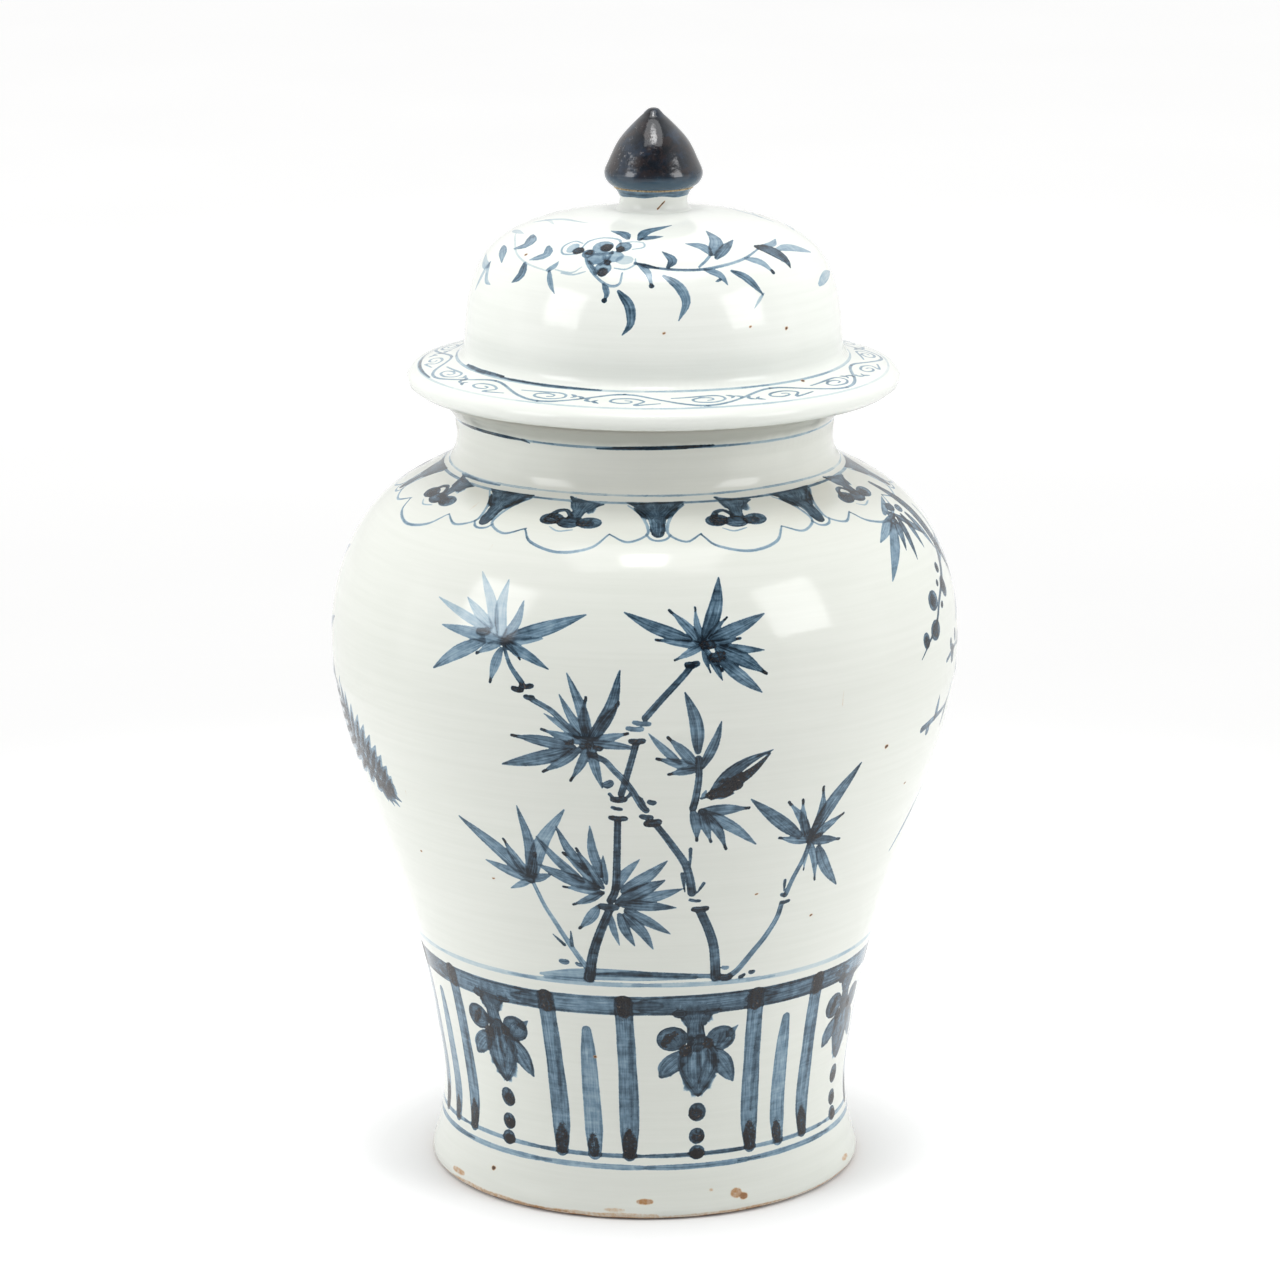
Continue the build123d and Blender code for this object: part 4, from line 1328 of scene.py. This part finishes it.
def bare_clay():
    """Unglazed stoneware, burnt orange where the glaze stops."""
    n = Nodes(bpy.data.materials.new("bare_clay"))
    grain = n.noise(0.0008, 4.0, 0.7)
    blush = n.noise(0.02, 3.0, 0.6)
    cloudy = n.math("MULTIPLY_ADD", grain, 0.35, n.math("MULTIPLY", blush, 0.65))
    colour = n.ramp(cloudy, [(0.3, (0.50, 0.36, 0.23)), (0.5, (0.60, 0.47, 0.33)), (0.7, (0.66, 0.58, 0.47))])
    dirt = n.smooth(n.noise(0.003, 3.0, 0.7), 0.6, 0.75)
    colour = n.mix(n.math("MULTIPLY", dirt, 0.6), colour, (0.22, 0.15, 0.10))
    normal = n.bump(grain, 0.0003, 0.7)
    return n.set(Base_Color=colour, Roughness=n.math("MULTIPLY_ADD", grain, 0.2, 0.7), Normal=normal)


def dark_cobalt():
    """The finial's thick cobalt, nearly black, rubbed through to brown and pale flecks."""
    n = Nodes(bpy.data.materials.new("dark_cobalt"))
    cloud = n.noise(0.012, 4.0, 0.6)
    colour = n.ramp(cloud, [
        (0.35, (0.006, 0.008, 0.012)), (0.5, (0.009, 0.013, 0.02)), (0.62, (0.018, 0.03, 0.05)),
        (0.75, (0.02, 0.018, 0.02)),
    ])
    # bluer round its foot, where it is thinner
    x, _, height = n.split(n.here())
    foot = n.math("SUBTRACT", 1.0, n.smooth(n.math("MULTIPLY_ADD", cloud, 0.006, height), 0.477, 0.484))
    colour = n.mix(n.math("MULTIPLY", foot, 0.75), colour, (0.035, 0.085, 0.135))
    # worn pale in specks, mostly on the left, and brown in patches above its foot
    rubbed = n.smooth(n.noise(0.0016, 4.0, 0.75, stretch=(1, 1, 0.6)), 0.57, 0.66)
    where = n.smooth(n.math("MULTIPLY_ADD", x, -9.0, n.noise(0.018, 2.0, 0.5)), 0.46, 0.62)
    worn = n.math("MULTIPLY", rubbed, where)
    colour = n.mix(n.math("MULTIPLY", worn, 0.55), colour, (0.30, 0.29, 0.30))
    patches = n.smooth(n.noise(0.009, 4.0, 0.7), 0.46, 0.6)
    brown = n.math("MULTIPLY", patches, n.math("SUBTRACT", 0.8, foot, clamp=True))
    colour = n.mix(brown, colour, (0.024, 0.0175, 0.018))
    normal = n.bump(n.noise(0.005, 3.0, 0.5), 0.0003, 0.5)
    normal = n.bump(worn, 0.00008, 0.6, normal)
    rough = n.math("MULTIPLY_ADD", worn, 0.35, 0.13)
    return n.set(Base_Color=colour, Roughness=rough, IOR=1.5, Specular_IOR_Level=0.54, Normal=normal)


def old_glue():
    """Yellowed glue with grit in it."""
    n = Nodes(bpy.data.materials.new("old_glue"))
    grit = n.noise(0.0012, 3.0, 0.7)
    stops = [(0.35, (0.16, 0.10, 0.045)), (0.5, (0.42, 0.30, 0.15)), (0.65, (0.60, 0.48, 0.30))]
    colour = n.ramp(grit, stops)
    return n.set(Base_Color=colour, Roughness=0.6, Normal=n.bump(grit, 0.0004, 0.8))


# ---------------------------------------------------------------- the pieces

def smoothly(value, low, high):
    """0 below low, 1 above high, and smooth between."""
    share = np.clip((value - low) / (high - low), 0, 1)
    return share * share * (3 - 2 * share)


def jar_shape(degrees, height):
    """How the thrown jar strays from a true circle: it is a little out of round, and the joint
    of its two halves shows as a low wavy ridge."""
    angle = np.radians(degrees)
    # the foot and the neck stay round
    held = smoothly(height, 6, 60) * (1 - smoothly(height, 300, 338))
    push = held * (-0.42 + 0.22 * np.sin(2 * angle + height / 90) + 0.12 * np.sin(3 * angle - height / 47))
    joint = LUTING + 1.2 * np.sin(angle * 2 + 0.7) + 0.8 * np.sin(angle * 5)
    return push + 0.5 * np.exp(-((height - joint) / 2.2)**2)


def lid_shape(degrees, height):
    """The dome's throwing rings, strongest low down."""
    angle = np.radians(degrees)
    low = smoothly(height, 391, 396) * (1 - smoothly(height, 402, 416))
    rings = 0.09 * np.sin(2 * math.pi * height / 3.4 + 0.5 * np.sin(angle))
    round_out = smoothly(height, 396, 410) * (1 - smoothly(height, 440, 456)) * 0.3 * np.sin(2 * angle + 1)
    return low * rings + round_out


def runs_of(node, axis_x):
    return smooth_runs(node_outline(node, axis_x))


def outer(runs):
    """The painted run: of those longer than 30 mm, the one that lies furthest out on average."""
    return max((run for run in runs if run.length > 30), key=lambda run: run.points[:, 0].mean())


def turn_rest(piece, runs, skin_run, rims, shape, is_bare):
    """Turns the runs of a piece beside its painted one, which has its rims already."""
    low_rim, high_rim = rims
    for run in runs:
        if run is skin_run:
            continue
        first = high_rim if math.dist(run.points[0], skin_run.points[-1]) < CLOSE else None
        last = low_rim if math.dist(run.points[-1], skin_run.points[0]) < CLOSE else None
        lathe(piece, run, BARE if is_bare(run) else GLAZED, first, last, shape=shape)


GLAZED = 0           # places in a piece's list of materials
BARE = 1
FOOT_EDGE = 4.0      # mm up: the foot's bare underside lies below this
NECK_SEAT = 374.0    # mm up: the neck's bare seat lies above this
NECK_MOUTH = 81.0    # mm out: and further out than this
LID_SEAT = 378.0     # mm up: the lid's bare seat lies below this
GLAZE = painted_glaze("painted_glaze", (0.70, 0.712, 0.668))
# the lid's glaze is a lighter copy of the jar's: partly its own whiter glaze, partly painted light on the
# dome and flange
LID_GLAZE = painted_glaze("lid_glaze", (0.78, 0.793, 0.757))
CLAY = bare_clay()
COBALT = dark_cobalt()
GLUE = old_glue()
LID_X = sum(corner.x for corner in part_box("lid_shell")) / 2 / MM
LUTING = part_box("lower_body")[1].z / MM

# The jar: lower body, upper body and neck share one painted outside
jar_runs = [runs_of(node, 0.0) for node in ("lower_body", "upper_body", "neck_collar")]
jar_pieces = [Piece(name, 0.0) for name in ("jar_lower_half", "jar_upper_half", "jar_neck")]
jar_skins = [outer(runs) for runs in jar_runs]
jar_outside = Outside(jar_skins, rim=12.0)
paint_jar(jar_outside, jar_outside.ends[2] - jar_outside.zero)
jar_rims = add_skins(jar_outside, jar_pieces, shape=jar_shape)
jar_bare = (
    lambda run: run.points[:, 1].max() < FOOT_EDGE,
    lambda run: False,
    lambda run: run.points[:, 1].min() > NECK_SEAT and run.points[:, 0].min() > NECK_MOUTH,
)
for piece, runs, skin_run, rims, is_bare in zip(jar_pieces, jar_runs, jar_skins, jar_rims, jar_bare):
    turn_rest(piece, runs, skin_run, rims, jar_shape, is_bare)

# The lid's dome
lid_runs = runs_of("lid_shell", LID_X)
lid_skin = outer(lid_runs)
dome = Piece("lid_dome", LID_X)
lid_outside = Outside([lid_skin], rim=20.0)
paint_lid(lid_outside)
lid_rims, = add_skins(lid_outside, [dome], shape=lid_shape)
turn_rest(dome, lid_runs, lid_skin, lid_rims, lid_shape, lambda run: run.points[:, 1].max() < LID_SEAT)

locating_ring = Piece("lid_ring", LID_X)
for run in runs_of("lid_locating_ring", LID_X):
    lathe(locating_ring, run)


def stem_paint(degrees, along):
    """The stem is white below and washed blue just under the break, with a short dark crack."""
    count = len(along)
    turn = np.radians(degrees)
    wave = 0.6 * (0.8 * np.sin(turn * 3 + 1) + 0.5 * np.sin(turn * 7))
    cover = smoothly(along, 7.4 + wave, 8.4 + wave)
    crack = np.exp(-((along - 2.6 - 0.28 * (degrees - 6)) / 0.4)**2)
    crack *= smoothly(degrees, 4, 7) * (1 - smoothly(degrees, 17, 21))
    return {
        "paint": np.column_stack([cover, np.full(count, 0.66), np.full(count, 0.1)]),
        "brush": np.column_stack([along * 1.5, degrees * 0.3, np.zeros(count)]),
        "stain": np.minimum(1, 1.8 * crack).reshape(count, 1),
    }


stem = Piece("finial_stump", LID_X)
for run in runs_of("finial_stem", LID_X):
    side = run.points[:, 1].max() - run.points[:, 1].min() > 5
    lathe(stem, run, segments=FINE_SEGMENTS, rows=24 if side else None, painter=stem_paint if side else None)

glue = Piece("finial_glue_line", LID_X)
for run in runs_of("finial_glue", LID_X):
    lathe(glue, run)


def bud_shape(degrees, height):
    """The bud was pinched to a point by hand, more on one side."""
    down = cad_box[1].z / MM - height
    pinch = smoothly(down, 0, 1.6) * (1 - smoothly(down, 3, 18))
    return -0.6 * pinch * (1 + 0.3 * np.sin(np.radians(degrees)))


bud = Piece("finial_point", LID_X)
for run in runs_of("finial_bud", LID_X):
    lathe(bud, run, shape=bud_shape)

for piece, node, body, slot, materials in (
        (jar_pieces[0], "lower_body", "jar", "jar_glaze", (GLAZE, CLAY)),
        (jar_pieces[1], "upper_body", "jar", "jar_glaze", (GLAZE, CLAY)),
        (jar_pieces[2], "neck_collar", "jar", "jar_glaze", (GLAZE, CLAY)),
        (dome, "lid_shell", "lid", "lid_glaze", (LID_GLAZE, CLAY)),
        (locating_ring, "lid_locating_ring", "lid", "bare_clay", (CLAY,)),
        (stem, "finial_stem", "lid", "lid_glaze", (LID_GLAZE,)),
        (glue, "finial_glue", "lid", "old_glue", (GLUE,)),
        (bud, "finial_bud", "lid", "cobalt_glaze", (COBALT,))):
    made = piece.build(materials)
    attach(made, body)
    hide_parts(node)


# ---------------------------------------------------------------- floor, light and camera

def floor():
    half = 15.0
    corners = [(-half, -half, 0), (half, -half, 0), (half, half, 0), (-half, half, 0)]
    mesh = bpy.data.meshes.new("floor")
    mesh.from_pydata(corners, [], [(0, 1, 2, 3)])
    ground = bpy.data.objects.new("floor", mesh)
    bpy.context.scene.collection.objects.link(ground)
    n = Nodes(bpy.data.materials.new("floor_paper"))
    tint = n.ramp(n.noise(0.4, 2.0), [(0.3, (0.78, 0.78, 0.78)), (0.7, (0.80, 0.80, 0.80))])
    # painted light: the floor paper glows a little, and more further back, so that it shows white
    x, y, _ = n.split(n.here())
    glow = n.math("MULTIPLY_ADD", n.smooth(y, -0.2, 2.4), 0.37, 0.04)
    # and painted light round the jar, which lightens the jar's shadow on the floor
    out = n.math("SQRT", n.math("ADD", n.math("MULTIPLY", x, x), n.math("MULTIPLY", y, y)))
    fading = n.math("SUBTRACT", 1.0, n.smooth(out, 0.35, 0.9))
    beside = n.math("MULTIPLY", n.smooth(out, 0.09, 0.17), fading)
    beside = n.math("MULTIPLY", beside, n.smooth(y, -0.24, 0.0))
    glow = n.math("MULTIPLY_ADD", beside, 0.31, glow)
    paper = n.set(Base_Color=tint, Roughness=0.9, Emission_Color=(1, 1, 1), Emission_Strength=glow)
    mesh.materials.append(paper)


def panel(name, azimuth, elevation, distance, width, height, power):
    """A soft box that faces the middle of the jar. Azimuth is degrees round from the front, to
    +X, distance and size are in metres and power is in watts."""
    light = bpy.data.lights.new(name, "AREA")
    light.shape = "RECTANGLE"
    light.size = width
    light.size_y = height
    light.energy = power
    turn = math.radians(azimuth)
    rise = math.radians(elevation)
    out = Vector((math.sin(turn) * math.cos(rise), -math.cos(turn) * math.cos(rise), math.sin(rise)))
    lamp = bpy.data.objects.new(name, light)
    lamp.location = JAR_MIDDLE + out * distance
    lamp.rotation_mode = "QUATERNION"
    lamp.rotation_quaternion = (-out).to_track_quat("-Z", "Y")
    bpy.context.scene.collection.objects.link(lamp)


def studio():
    """Light from all round. It is darkest low in front, where the camera stands, and brightest
    halfway up at the sides and back. Each table goes round from the front to the back in degrees."""
    low = ((0, 0.0), (36, 0.04), (44, 0.2), (80, 0.48), (110, 0.95), (145, 0.9), (180, 0.8))
    high = ((0, 0.08), (36, 0.16), (44, 0.42), (80, 0.9), (110, 1.28), (145, 1.3), (180, 1.28))
    brightest = 2.5
    world = bpy.data.worlds.new("studio")
    n = Nodes(world, "ShaderNodeBackground", "ShaderNodeOutputWorld")
    x, y, z = n.split(n.tree.nodes.new("ShaderNodeTexCoord").outputs["Generated"])
    turn = n.math("ARCTAN2", n.math("ABSOLUTE", x), n.math("MULTIPLY", y, -1.0))
    around = n.math("DIVIDE", turn, math.pi)
    up = n.math("DIVIDE", n.math("ARCSINE", z), math.pi / 2)

    def level(table):
        stops = [(degrees / 180, (value / brightest,) * 3) for degrees, value in table]
        return n.ramp(around, stops)

    high_up = 40 / 90   # the height of the second table, as a share of the way to straight up
    black = (0, 0, 0)
    white = (1, 1, 1)
    low_share = n.ramp(up, [(0.0, white), (high_up, black)])
    high_share = n.ramp(up, [(0.0, black), (high_up, white), (1.0, (0.3, 0.3, 0.3))])
    low_light = n.math("MULTIPLY", low_share, level(low))
    total = n.math("ADD", low_light, n.math("MULTIPLY", high_share, level(high)))
    bpy.context.scene.world = n.set(Color=(1.0, 1.0, 0.995), Strength=n.math("MULTIPLY", total, brightest))


JAR_MIDDLE = Vector((0, 0, 0.26))
floor()
studio()
for side, word in ((-1, "left"), (1, "right")):
    panel(word + "_box", side * 59, elevation=27, distance=1.5, width=0.6, height=0.66, power=6.8)
    panel(word + "_wall", side * 72, elevation=8, distance=0.95, width=0.8, height=0.56, power=1.0)
panel("top_box", 0, elevation=76, distance=1.8, width=1.3, height=0.9, power=9.8)
panel("top_core", 0, elevation=74, distance=1.7, width=0.34, height=0.4, power=4.6)

bpy.context.scene.view_settings.view_transform = "Standard"

# the camera looks down at the jar from in front
LOOKS_DOWN = 13.96   # degrees
camera = bpy.data.objects.new("camera", bpy.data.cameras.new("camera"))
camera.location = (-0.0023, -2.2495, 0.8133)
camera.rotation_euler = (math.radians(90 - LOOKS_DOWN), 0, 0)
camera.data.sensor_width = 36
camera.data.lens = 137.2
camera.data.clip_end = 60
bpy.context.scene.collection.objects.link(camera)
bpy.context.scene.camera = camera

bpy.context.view_layer.update()
